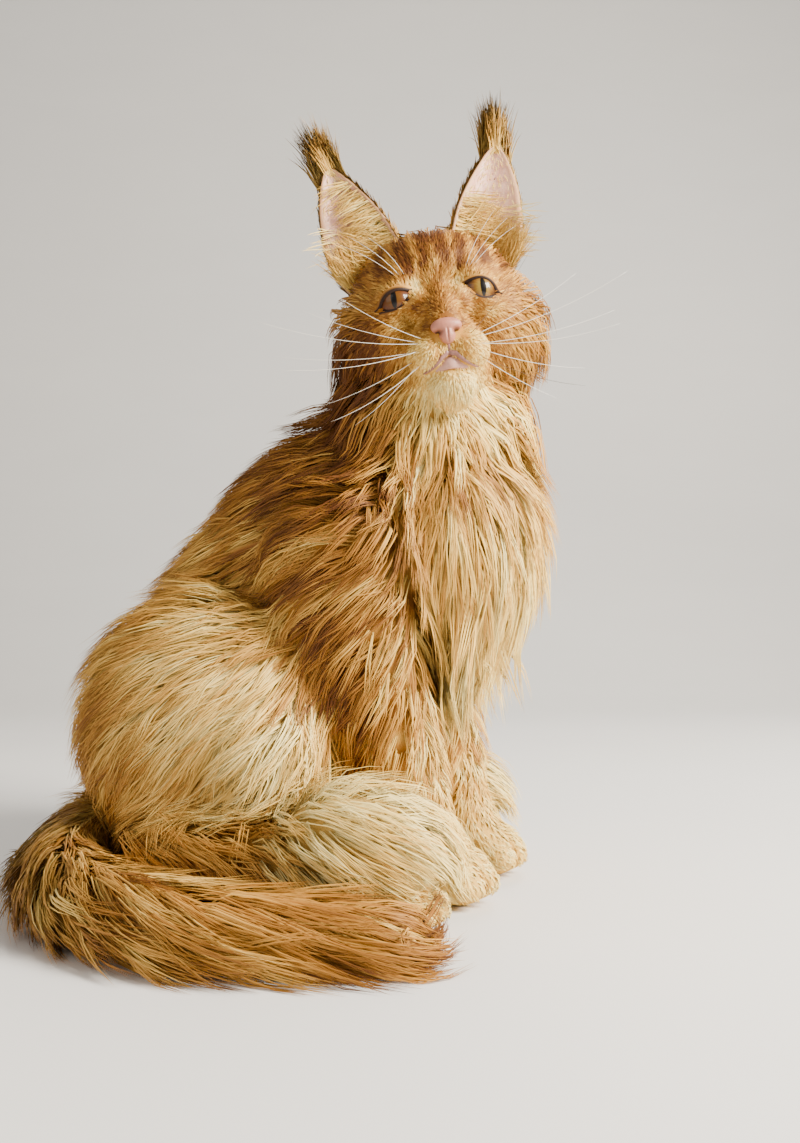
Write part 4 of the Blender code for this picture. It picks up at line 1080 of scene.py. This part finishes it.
head_part = mostly("head")
rim_of_head = head_part & (triangle_length > 0.015)
long_hair = triangle_length > 0.016
grow("coat_ruff", mostly("neck"), 8500, 9, 0.0052, 0.0010, 4, 10, gather=0.68, stray=0.0022)
grow("coat_chest", mostly("chest"), 5400, 10, 0.0050, 0.0010, 4, 20)
grow("coat_back", mostly("torso"), 13000, 9, 0.0056, 0.0009, 2, 30, gather=0.55, stray=0.0025)
for side_name in SIDES:
    grow(f"coat_haunch_{side_name}", mostly(f"thigh_{side_name}"), 11500, 9, 0.0056, 0.0009, 2,
         40 if side_name == "left" else 50, gather=0.50, stray=0.0028)
grow("coat_legs", mostly("foreleg") & long_hair, 9500, 8, 0.0046, 0.0009, 2, 60, gather=0.60)
grow("coat_feet", mostly("hindfoot") & long_hair, 7000, 8, 0.0050, 0.0009, 3, 70, gather=0.50, bend=0.12, stray=0.0025)
tail_corners = body_skin.corners[part_share(body_skin.middle_shares, "tail") > 0.5]
tail_tree = BVHTree.FromPolygons([Vector(p) for p in body_skin.points], tail_corners.tolist())
grow("coat_tail", mostly("tail"), 8600, 10, 0.0050, 0.0010, 4, 80, gather=0.65, bend=0.10, stray=0.0025, tree=tail_tree)
grow("coat_paws", mostly("foreleg", "hindfoot") & ~long_hair, 7500, 2, 0.0010, 0.0008, 2, 90, bend=0.12, stray=0.0004)
grow("coat_face", head_part & ~rim_of_head, 14500, 2, 0.0008, 0.00066, 2, 100, bend=0.12, wave=0.0002, stray=0.0003)
grow("coat_cheeks", rim_of_head, 7500, 8, 0.0042, 0.00085, 3, 110, gather=0.6, bend=0.16)
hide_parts(*[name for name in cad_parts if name.split("_")[0] in
                    ("head", "neck", "chest", "torso", "foreleg", "hindfoot", "thigh", "tail")])
show(skin, skin_finish, "coat")

# The eyes. Each is a wet ball with an amber iris that is greener round a narrow upright pupil, and
# its dark lids are a soft rim that is drawn out at the inner corner.

iris_finish, shader, start = finish("iris")
across, upright = measured(start, "across"), measured(start, "upright")
far_out = (across * across + upright * upright) ** 0.5
streaks = start.node("ShaderNodeTexNoise", Scale=1.0, Detail=2.0, Vector=start.node(
    "ShaderNodeCombineXYZ", i0=across / (far_out + 0.3) * 8.0, i1=upright / (far_out + 0.3) * 8.0, i2=far_out * 0.10))
iris = start.node("ShaderNodeValToRGB", {"stops": [
    (0.0, (0.14, 0.105, 0.02)), (0.30, (0.24, 0.145, 0.022)), (0.52, (0.19, 0.080, 0.012)),
    (0.72, (0.06, 0.021, 0.005)), (1.0, (0.006, 0.003, 0.002))]}, Fac=far_out / 10.2 + (streaks - 0.5) * 0.5)
# The right eye's iris is mixed towards dark brown: painted shade, as that eye is turned from the key lamp.
iris = measured(start, "dim").mixed(iris, (0.085, 0.020, 0.003, 1))
pupil = ((across / 1.7) ** 2.0 + (upright / 5.6) ** 2.0).between(0.70, 1.3)
fill(shader, Base_Color=pupil.mixed((0.003, 0.002, 0.002, 1), iris), Roughness=0.35)
shader.inputs["Specular IOR Level"].default_value = 0.1
shader.inputs["Coat Weight"].default_value = 0.75
shader.inputs["Coat Roughness"].default_value = 0.03
shader.inputs["Coat IOR"].default_value = 1.36

lid_finish, shader, start = finish("lids")
open_edge, tone = measured(start, "open_edge"), measured(start, "tone")
fur_colour = start.node("ShaderNodeValToRGB", {"stops": HAIR_COLOURS}, Fac=tone)
wrinkles = start.node("ShaderNodeTexNoise", Scale=40.0, Detail=2.0)
fill(shader, Base_Color=open_edge.between(0.25, 0.8).mixed(fur_colour, (0.022, 0.009, 0.005, 1)), Roughness=0.6,
     Normal=start.node("ShaderNodeBump", Strength=0.3, Distance=0.0003, Height=wrinkles))
shader.inputs["Specular IOR Level"].default_value = 0.2


def swept(name, path, radii, sides=8, flat=1.0, outs=None, closed=False):
    """A round tube along a path with a radius at each point. Flat squeezes it along its out ways."""
    path = np.asarray(path, float)
    count = len(path)
    ahead = unit(np.roll(path, -1, 0) - np.roll(path, 1, 0)) if closed else unit(np.gradient(path, axis=0))
    out = np.asarray(outs if outs is not None else np.tile(HEAD_FRONT, (count, 1)), float)
    side = unit(np.cross(ahead, out))
    up = np.cross(side, ahead)
    points = []
    for i in range(count):
        for k in range(sides):
            angle = 2 * math.pi * k / sides
            points.append(path[i] + radii[i] * (side[i] * math.cos(angle) + up[i] * flat * math.sin(angle)))
    faces = []
    for i in range(count if closed else count - 1):
        for k in range(sides):
            a, b = i * sides + k, i * sides + (k + 1) % sides
            c, d = (b + sides) % (count * sides), (a + sides) % (count * sides)
            faces.append((a, b, c, d))
    if not closed:
        faces += [tuple(reversed(range(sides))), tuple(range((count - 1) * sides, count * sides))]
    mesh = mesh_of(points, faces)
    mesh.shade_smooth()
    obj = bpy.data.objects.new(name, mesh)
    bpy.context.scene.collection.objects.link(obj)
    return obj


LID_RINGS = (0.93, 0.99, 1.05, 1.14, 1.28, 1.5)
for side_name, side in SIDES.items():
    gaze, along_eye, up_eye = eye_axes(side)
    centre = on_head(EYE_AT[0], side * EYE_AT[1], EYE_AT[2])
    axes = Matrix((along_eye, up_eye, gaze)).transposed()
    ball = round_form((0, 0, 0), (1, 1, 1), None, 48, 32)
    local = spots(ball)
    bulge = 1 + 0.05 * np.exp(-((1 - local[:, 2]) / 0.25) ** 2)
    local = local * (EYE_RADIUS - 0.35) * bulge[:, None]
    placed = local @ np.array(axes).T * MM + np.array(centre)
    upright_way = HEAD_UP - gaze * HEAD_UP.dot(gaze)
    upright_way.normalize()
    across_way = upright_way.cross(gaze)
    relative = (placed - np.array(centre)) / MM
    move_spots(ball, placed)
    # Dim darkens the right eye's iris: painted shade on the eye turned from the key lamp.
    give_numbers(ball, across=relative @ np.array(across_way), upright=relative @ np.array(upright_way),
                 dim=np.full(len(relative), {1: 0.0, -1: 0.8}[side]))
    ball.shade_smooth()
    eye = bpy.data.objects.new(f"eyeball_{side_name}", ball)
    bpy.context.scene.collection.objects.link(eye)
    show(eye, iris_finish, "eye", f"eye_{side_name}")

    steps = 30
    rows = []
    for scale in LID_RINGS:
        row = []
        for half in (1, -1):
            for i in range(steps):
                x = half * (-1 + 2 * i / steps)
                long_way, high_way = x * EYE_LONG, half * (1 - x * x) * EYE_HIGH
                inner = max(0.0, -x - 0.75) / 0.25
                long_way -= 1.6 * inner ** 2
                high_way -= 0.8 * inner ** 2
                heavy = {1: 0.90, -1: 0.66}[side] if half > 0 and scale < 1.1 else 1.0
                at = Vector((long_way, high_way * heavy, 0)) * scale
                at.z = math.sqrt(max(EYE_RADIUS ** 2 - at.x ** 2 - at.y ** 2, 9.0))
                way = (axes @ at).normalized()
                hit = skin_tree.ray_cast(centre + way * 0.004, way, 0.03)[0]
                out = (hit - centre).length / MM if hit else 12.0
                bulge = {0: 10.5, 1: 11.35, 2: max(11.9, min(out, 13.0)), 3: max(12.0, out + 0.3),
                         4: out + 0.25, 5: out - 0.3}[LID_RINGS.index(scale)]
                row.append(centre + way * (bulge * MM))
        rows.append(row)
    around = len(rows[0])
    faces = [(r * around + i, r * around + (i + 1) % around, (r + 1) * around + (i + 1) % around,
              (r + 1) * around + i) for r in range(len(rows) - 1) for i in range(around)]
    mesh = mesh_of([p for row in rows for p in row], faces)
    shape = bmesh.new()
    shape.from_mesh(mesh)
    bmesh.ops.recalc_face_normals(shape, faces=shape.faces)
    if shape.faces[0].normal.dot(gaze) < 0:
        bmesh.ops.reverse_faces(shape, faces=shape.faces)
    shape.to_mesh(mesh)
    shape.free()
    lid_points = spots(mesh)
    give_numbers(mesh, open_edge=np.repeat((1.0, 1.0, 1.0, 0.45, 0.0, 0.0), around),
                 tone=tones(lid_points, part_shares(lid_points)) + 0.1)
    mesh.shade_smooth()
    lids = bpy.data.objects.new(f"lids_{side_name}", mesh)
    bpy.context.scene.collection.objects.link(lids)
    solid = lids.modifiers.new("Thickness", "SOLIDIFY")
    solid.thickness = 0.0003
    solid.offset = -1
    lids.data = bpy.data.meshes.new_from_object(lids.evaluated_get(bpy.context.evaluated_depsgraph_get()))
    lids.modifiers.clear()
    show(lids, lid_finish, "coat")

# The nose is a bare pad, brick pink, wide on top and narrow below, with a nostril at each side. A
# fine pebbled grain covers it, and a groove runs down its middle to the lips.

NOSE_AT = (59.0, 0.0, -25.0)
nose_forms = [round_form(on_head(NOSE_AT[0] + 0.2, 0, NOSE_AT[2] + 1), (5.2 * MM, 8.8 * MM, 4.7 * MM), HEAD_AXES),
              round_form(on_head(NOSE_AT[0] + 0.6, 0, NOSE_AT[2] - 3.5), (4.6 * MM, 4.6 * MM, 5.6 * MM), HEAD_AXES)]
nose = melted("nose_pad", nose_forms, 0.00035, 6)
nose_points = spots(nose.data)
front, left, up = head_places(nose_points).T
dent = np.exp(-(((np.abs(left) - 5.4) / 1.9) ** 2 + ((up - NOSE_AT[2] + 2.6) / 1.15) ** 2)) * swell(front, 58, 61)
groove = np.exp(-(left / 0.55) ** 2) * swell(front, 58, 60) * swell(-up, 25, 28)
nose_points = nose_points - np.outer(3.2 * dent + 0.8 * groove, np.array(HEAD_FRONT)) * MM
move_spots(nose.data, nose_points)
# The nostrils' dents are marked to be coloured near black: painted shade inside the openings.
give_numbers(nose.data, hollow=np.clip(dent * 1.4, 0, 1))
nose.data.shade_smooth()
nose_finish, shader, start = finish("nose_leather")
hollow = measured(start, "hollow")
pebbles = start.node("ShaderNodeTexVoronoi", Scale=34.0)
patches = start.node("ShaderNodeTexNoise", Scale=5.0, Detail=3.0)
pad = patches.mixed((0.38, 0.130, 0.080, 1), (0.52, 0.21, 0.14, 1))
# Near black in the nostrils: painted shade.
fill(shader, Base_Color=hollow.mixed(pad, (0.03, 0.008, 0.006, 1)), Roughness=0.42,
     Normal=start.node("ShaderNodeBump", Strength=0.35, Distance=0.0003, Height=pebbles))
show(nose, nose_finish, "nose_leather", "nose")

# The lips are a narrow mauve edge that runs back from the groove under the nose on both sides, with
# the lower lip on the chin below it.

lip_finish, shader, start = finish("lips")
patches = start.node("ShaderNodeTexNoise", Scale=12.0, Detail=2.0)
fill(shader, Base_Color=patches.mixed((0.20, 0.085, 0.07, 1), (0.33, 0.15, 0.12, 1)), Roughness=0.45)
for side_name, side in SIDES.items():
    line = [(62, 0, -40.6), (59.5, side * 4.5, -42.8), (57, side * 9, -45.6), (50, side * 16, -47.5)]
    path, outs = [], []
    for i in range(17):
        place, out, _, _ = skin_tree.find_nearest(on_head(*blended(line, i / 16)))
        path.append(place + out * 0.0007)
        outs.append(out)
    radii = [MM * (1.6 - 1.0 * (i / 16) ** 1.2) for i in range(17)]
    show(swept(f"lip_{side_name}", path, radii, 8, 0.7, outs), lip_finish, "nose_leather")
path = [on_head(*blended([(62.5, 0, -30), (61.5, 0, -36), (62.0, 0, -40.8)], i / 8)) for i in range(9)]
path = [Vector(skin_tree.find_nearest(p)[0]) + HEAD_FRONT * 0.0002 for p in path]
show(swept("lip_groove", path, [0.85 * MM] * 9, 8, 0.6), lip_finish, "nose_leather")
lower_lip = melted("lower_lip", [limb([(*on_head(55.4 - abs(l) * 0.35, l, -43.4 - abs(l) * 0.20),
                                        (3.8 - abs(l) * 0.15) * MM, (2.3 - abs(l) * 0.13) * MM)
                                       for l in (-9, -4.5, 0, 4.5, 9)], HEAD_UP)], 0.0005, 4)
lower_lip.data.shade_smooth()
pink_lip_finish, shader, start = finish("lower_lip")
patches = start.node("ShaderNodeTexNoise", Scale=8.0, Detail=2.0)
fill(shader, Base_Color=patches.mixed((0.46, 0.22, 0.165, 1), (0.58, 0.32, 0.25, 1)), Roughness=0.42)
show(lower_lip, pink_lip_finish, "nose_leather")

# Each ear is a thin cup of skin, pink inside, with short hair on its back. Long pale hair grows from
# the inner edge across the cup, and a dark brush stands on the tip.

EAR_DEEP = 17.0
EAR_OPEN = math.radians(32)
INNER_EDGE = [(0, 17, 50), (-3, 24, 68), (-7, 35, 86), (-12, 50, 105)]
OUTER_EDGE = [(-6, 51, 15), (-8, 60, 42), (-9, 62, 75), (-12, 56, 105)]


def ear_place(side, across, up):
    """A point of the ear's middle sheet, across from -1 at the inner edge to 1 at the outer."""
    inner, outer = Vector(blended(INNER_EDGE, up)), Vector(blended(OUTER_EDGE, up))
    if up < 0:
        inner += (inner - Vector(blended(INNER_EDGE, 0.1))) * (-up * 8)
        outer += (outer - Vector(blended(OUTER_EDGE, 0.1))) * (-up * 8)
    fold = 0.10 * float(swell(0.30 - up, 0.0, 0.34))
    outer = outer.lerp(inner, fold)
    close = math.sqrt(max(1 - (max(up - 0.86, 0) / 0.14) ** 2, 0.0))
    middle = inner.lerp(outer, 0.5)
    inner, outer = middle.lerp(inner, close), middle.lerp(outer, close)
    back = Vector((-math.cos(EAR_OPEN), -math.sin(EAR_OPEN), 0))
    depth = EAR_DEEP * (1 - max(up, 0)) ** 0.7 * (1 - across * across)
    place = inner.lerp(outer, (1 + across) / 2) + back * depth
    return on_head(place.x, side * place.y, place.z)


ear_finish, shader, start = finish("ear_skin")
inside = measured(start, "inside")
rim = measured(start, "rim")
veins = start.node("ShaderNodeTexNoise", Scale=9.0, Detail=5.0)
pink = veins.between(0.3, 0.7).mixed((0.70, 0.36, 0.27, 1), (0.88, 0.56, 0.43, 1))
lit = rim.mixed(pink, (0.58, 0.31, 0.15, 1))
fill(shader, Base_Color=inside.mixed((0.30, 0.15, 0.055, 1), lit), Roughness=0.6)
shader.inputs["Subsurface Weight"].default_value = 0.25
shader.inputs["Subsurface Radius"].default_value = (0.006, 0.0025, 0.0015)

COLUMNS, ROWS = 19, 26
for side_name, side in SIDES.items():
    sheet = [[ear_place(side, -1 + 2 * c / (COLUMNS - 1), -0.10 + 1.10 * r / (ROWS - 1)) for c in range(COLUMNS)]
             for r in range(ROWS)]
    sheet = np.array(sheet)
    way_up, way_across = np.gradient(sheet, axis=0), np.gradient(sheet, axis=1)
    face = unit(np.cross(way_across, way_up)) * side
    flip = np.sign((face.mean(axis=(0, 1)) * np.array(HEAD_FRONT)).sum())
    face = face * flip
    thick = 0.0011 * (1 - 0.45 * np.linspace(0, 1, ROWS))[:, None, None]
    front_sheet, back_sheet = sheet + face * thick, sheet - face * thick
    points = np.concatenate([front_sheet.reshape(-1, 3), back_sheet.reshape(-1, 3)])
    faces = []
    half = COLUMNS * ROWS
    for r in range(ROWS - 1):
        for c in range(COLUMNS - 1):
            a = r * COLUMNS + c
            quad = (a, a + 1, a + 1 + COLUMNS, a + COLUMNS)
            faces += [quad, tuple(half + i for i in reversed(quad))]
    edge = ([r * COLUMNS for r in range(ROWS)] + [(ROWS - 1) * COLUMNS + c for c in range(1, COLUMNS)]
            + [r * COLUMNS + COLUMNS - 1 for r in range(ROWS - 2, -1, -1)] + list(range(COLUMNS - 2, 0, -1)))
    for a, b in zip(edge, edge[1:] + edge[:1]):
        faces.append((a, b, b + half, a + half))
    mesh = mesh_of(points, faces)
    shape = bmesh.new()
    shape.from_mesh(mesh)
    bmesh.ops.recalc_face_normals(shape, faces=shape.faces)
    shape.to_mesh(mesh)
    shape.free()
    mesh.shade_smooth()
    spread = np.tile(np.abs(np.linspace(-1, 1, COLUMNS)), ROWS)
    give_numbers(mesh, inside=np.concatenate([np.ones(half), np.zeros(half)]),
                 rim=np.tile(np.clip((spread - 0.75) / 0.25, 0, 1), 2))
    ear = bpy.data.objects.new(f"ear_cup_{side_name}", mesh)
    bpy.context.scene.collection.objects.link(ear)
    show(ear, ear_finish, "ear", f"ear_{side_name}")

    rng = np.random.default_rng(200 + side)

    def ear_hairs(count, across_range, up_range, outward, length, way, width, tone_range, curl=(0, 0, 0),
                  stray=0.14, thinning=1.0):
        """Straight or curling hairs from places on one face of the ear, which thin out up the range."""
        a = rng.uniform(*across_range, count)
        u = up_range[0] + (up_range[1] - up_range[0]) * rng.beta(1.0, thinning, count)
        roots, normals, ways = [], [], []
        for x, y in zip(a.tolist(), u.tolist()):
            here = ear_place(side, x, y)
            up_way = (ear_place(side, x, min(y + 0.05, 1)) - ear_place(side, x, y - 0.05)).normalized()
            over = (ear_place(side, min(x + 0.1, 1), y) - ear_place(side, max(x - 0.1, -1), y)).normalized()
            normal = over.cross(up_way).normalized() * side * flip * outward
            if outward > 0:
                over = (ear_place(side, 1, y) - ear_place(side, x - 0.15, y)).normalized()
            roots.append(here + normal * 0.0010)
            normals.append(normal)
            ways.append(way(up_way, over, normal, x, y))
        roots, normals, ways = np.array(roots), np.array(normals), unit(np.array(ways))
        ways = unit(ways + rng.normal(scale=stray, size=ways.shape))
        reach = length * rng.uniform(0.65, 1.1, count)
        share = np.linspace(0, 1, HAIR_STEPS + 1)[None, :, None]
        bent = np.array(curl) + rng.normal(scale=0.09 * length, size=(count, 3))
        paths = roots[:, None] + ways[:, None] * (reach[:, None, None] * share) + bent[:, None] * share ** 2
        outs = np.repeat(normals[:, None], HAIR_STEPS + 1, axis=1)
        numbers = {"tone": rng.uniform(*tone_range, count), "chance": rng.random(count)}
        uvs = np.stack([(a + 1.2) / 2.4, np.clip(u, 0, 1) * 0.9 + 0.02], axis=1)
        return paths, outs, width * rng.uniform(0.7, 1.2, count), numbers, uvs

    brush_lean = HEAD_UP + HEAD_LEFT * side * (0.10 if side > 0 else 0.34)
    groups = [
        ear_hairs(1700, (-1, 1), (0.0, 0.97), -1, 0.011, lambda u, o, n, x, y: u + 0.20 * n, 0.0011, (0.36, 0.54),
                  stray=0.10),
        ear_hairs(560, (-1, 1), (0.80, 0.99), -1, 0.032, lambda u, o, n, x, y: brush_lean + 0.08 * o * x + 0.04 * n,
                  0.0007, (0.24, 0.42), stray=0.07),
        ear_hairs(90, (-0.8, 0.8), (0.90, 0.99), 1, 0.022, lambda u, o, n, x, y: brush_lean + 0.08 * o * x,
                  0.0007, (0.26, 0.44), stray=0.07),
        ear_hairs(380 if side < 0 else 230, (-1.0, -0.66), (0.02, 0.88 if side < 0 else 0.66), 1,
                  0.023 if side < 0 else 0.027, lambda u, o, n, x, y: o + (0.75 - 0.9 * y) * u + 0.22 * n,
                  0.00065, (0.05, 0.38), np.array(HEAD_UP) * -0.004, stray=0.19, thinning=1.7 if side < 0 else 3.0),
        ear_hairs(60 if side > 0 else 25, (0.5, 0.95), (0.20, 0.55), 1, 0.022,
                  lambda u, o, n, x, y: o + 0.15 * u + 0.25 * n, 0.0006, (-0.1, 0.1),
                  np.array(HEAD_UP) * -0.003, stray=0.10),
        ear_hairs(330, (-0.95, 0.6), (0.0, 0.26), 1, 0.028, lambda u, o, n, x, y: 0.7 * u + 0.55 * o + 0.35 * n,
                  0.0008, (0.05, 0.34), stray=0.16),
        ear_hairs(330, (0.25, 1.0), (0.0, 0.24), 1, 0.024, lambda u, o, n, x, y: u + 0.25 * o + 0.45 * n,
                  0.0008, (0.15, 0.42), stray=0.16),
        ear_hairs(400, (-1.0, 1.0), (0.0, 0.14), -1, 0.016, lambda u, o, n, x, y: 0.2 * o * x + 0.35 * n - 0.5 * u,
                  0.0009, (0.30, 0.50), stray=0.16),
        ear_hairs(300, (-0.95, 0.95), (0.05, 0.95), 1, 0.004, lambda u, o, n, x, y: u + 0.22 * n, 0.00035, (0.0, 0.2)),
        ear_hairs(260, (0.94, 1.0), (0.0, 0.9), -1, 0.006, lambda u, o, n, x, y: u + 0.12 * o, 0.0006, (0.25, 0.42),
                  stray=0.08),
        ear_hairs(260, (-1.0, -0.94), (0.0, 0.9), -1, 0.006, lambda u, o, n, x, y: u - 0.10 * o, 0.0006, (0.40, 0.55),
                  stray=0.08),
    ]
    paths, outs, widths, uvs = (np.concatenate([g[i] for g in groups]) for i in (0, 1, 2, 4))
    numbers = {key: np.concatenate([g[3][key] for g in groups]) for key in ("tone", "chance")}
    obj = blades(f"coat_ear_{side_name}", paths, outs, widths, numbers, uvs, *BLADE_RINGS[3], smooth_shade=0.1)
    show(obj, coat_finish, "coat")

# The whiskers are long white bristles in rows on the pads of the muzzle, with a few shorter ones
# over each eye.

whisker_finish, shader, start = finish("whiskers")
shade = measured(start, "shade")
fill(shader, Base_Color=shade.mixed((0.90, 0.86, 0.76, 1), (0.10, 0.055, 0.03, 1)), Roughness=0.35)
rng = np.random.default_rng(300)
whisker_paths, whisker_radii, whisker_shades = [], [], []
WHISKERS = [(56, 13, -30, 0.45, 0.050), (53, 16, -31, 0.26, 0.062), (55, 15, -33, 0.08, 0.086),
            (51, 18, -35, -0.08, 0.074), (54, 14, -36, -0.22, 0.078), (50, 18, -38, -0.50, 0.060),
            (53, 15, -40, -0.72, 0.066), (49, 18, -41, -0.95, 0.052)]
for side in SIDES.values():
    for number, (front, left, up, slope, length) in enumerate(WHISKERS):
        root, out, _, _ = skin_tree.find_nearest(on_head(front, side * left, up))
        slope += 0.35 if side > 0 and number == 0 else 0.0
        way = (HEAD_LEFT * side + HEAD_FRONT * (0.15 - 0.04 * (number % 3)) + HEAD_UP * slope).normalized()
        share = np.linspace(0, 1, 17)[:, None]
        curl = np.array(HEAD_UP) * 0.016 * (length / 0.086) - np.array(HEAD_FRONT) * 0.010 * (number % 2)
        whisker_paths.append(np.array(root) + np.array(way) * length * share + curl * share ** 2)
        whisker_radii.append(0.00014 * (1 - share[:, 0]) ** 0.7 + 0.00004)
        whisker_shades.append(1.0 if side > 0 and number in (0, 6) else 0.0)
    for number in range(3):
        root, out, _, _ = skin_tree.find_nearest(on_head(34, side * (18 + 2 * number), 15))
        way = (HEAD_UP + HEAD_LEFT * side * (0.5 + 0.3 * number) + HEAD_FRONT * 0.5).normalized()
        share = np.linspace(0, 1, 11)[:, None]
        length = rng.uniform(0.026, 0.038)
        curl = np.array(HEAD_FRONT) * -0.010 + np.array(HEAD_LEFT) * side * 0.006
        whisker_paths.append(np.array(root) + np.array(way) * length * share + curl * share ** 2)
        whisker_radii.append(0.00012 * (1 - share[:, 0]) ** 0.7 + 0.00003)
        whisker_shades.append(0.0)
pieces = []
for path, radii, shade in zip(whisker_paths, whisker_radii, whisker_shades):
    pieces.append(swept("whisker", path, radii, 5))
    give_numbers(pieces[-1].data, shade=np.full(len(pieces[-1].data.vertices), shade))
shape = bmesh.new()
for piece in pieces:
    shape.from_mesh(piece.data)
    bpy.data.objects.remove(piece)
mesh = bpy.data.meshes.new("whiskers")
shape.to_mesh(mesh)
shape.free()
mesh.shade_smooth()
whiskers = bpy.data.objects.new("whiskers", mesh)
bpy.context.scene.collection.objects.link(whiskers)
show(whiskers, whisker_finish, "coat")

# A plain pale floor that sweeps up behind the cat, soft lamps, and the camera where the photograph
# was taken from: low, at the cat's right.

floor_finish, shader, start = finish("studio_floor")
grain = start.node("ShaderNodeTexNoise", Scale=40.0, Detail=3.0)
fill(shader, Base_Color=grain.mixed((0.72, 0.70, 0.67, 1), (0.76, 0.74, 0.71, 1)), Roughness=0.7)
RIGHT_WAY = Vector((0.342, -0.9397, 0))
VIEW_WAY = Vector((0.9397, 0.342, 0))
profile = [(-3.0, 0.0), (1.2, 0.0)]
profile += [(1.2 + 0.8 * math.sin(t), 0.8 - 0.8 * math.cos(t)) for t in np.linspace(0.15, math.pi / 2, 10)]
profile += [(2.0, 3.0)]
points = [VIEW_WAY * d + RIGHT_WAY * s + Z_AXIS * h for s in (-4, 4) for d, h in profile]
count = len(profile)
floor_mesh = mesh_of(points, [(i, i + 1, i + 1 + count, i + count) for i in range(count - 1)])
floor_mesh.shade_smooth()
floor = bpy.data.objects.new("studio_floor", floor_mesh)
bpy.context.scene.collection.objects.link(floor)
floor.data.materials.append(floor_finish)


def lamp(name, at, power, size, colour):
    """A soft square lamp that points at the cat's chest."""
    data = bpy.data.lights.new(name, "AREA")
    data.energy, data.size, data.color = power, size, colour
    obj = bpy.data.objects.new(name, data)
    bpy.context.scene.collection.objects.link(obj)
    aim = Vector((0, 0, 0.22))
    obj.location = at
    obj.rotation_euler = (aim - Vector(at)).to_track_quat("-Z", "Y").to_euler()
    return obj


lamp("key", RIGHT_WAY * 1.35 - VIEW_WAY * 0.70 + Z_AXIS * 1.15, 132, 0.7, (1.0, 0.95, 0.86))
lamp("fill", RIGHT_WAY * -1.4 - VIEW_WAY * 1.0 + Z_AXIS * 0.9, 9, 1.4, (1.0, 0.97, 0.93))
lamp("back", RIGHT_WAY * 0.5 + VIEW_WAY * 1.0 + Z_AXIS * 1.3, 12, 0.8, (1.0, 0.96, 0.9))
world = bpy.data.worlds.new("studio")
world.use_nodes = True
world.node_tree.nodes["Background"].inputs["Color"].default_value = (0.84, 0.82, 0.79, 1)
world.node_tree.nodes["Background"].inputs["Strength"].default_value = 0.48
bpy.context.scene.world = world

FOCAL_PIXELS, PHOTO_HEIGHT = 1020.0, 1143.0
camera_data = bpy.data.cameras.new("camera")
camera_data.sensor_fit = "AUTO"
camera_data.sensor_width = 36.0
camera_data.lens = 36.0 * FOCAL_PIXELS / PHOTO_HEIGHT
camera_data.clip_start = 0.01
camera = bpy.data.objects.new("camera", camera_data)
bpy.context.scene.collection.objects.link(camera)
look = (VIEW_WAY + Z_AXIS * math.tan(math.radians(2.6))).normalized()
camera.location = FRAME_SHIFT - (RIGHT_WAY * 0.0511 + VIEW_WAY * 0.6345) + Z_AXIS * 0.166
camera.rotation_euler = look.to_track_quat("-Z", "Y").to_euler()
bpy.context.scene.camera = camera
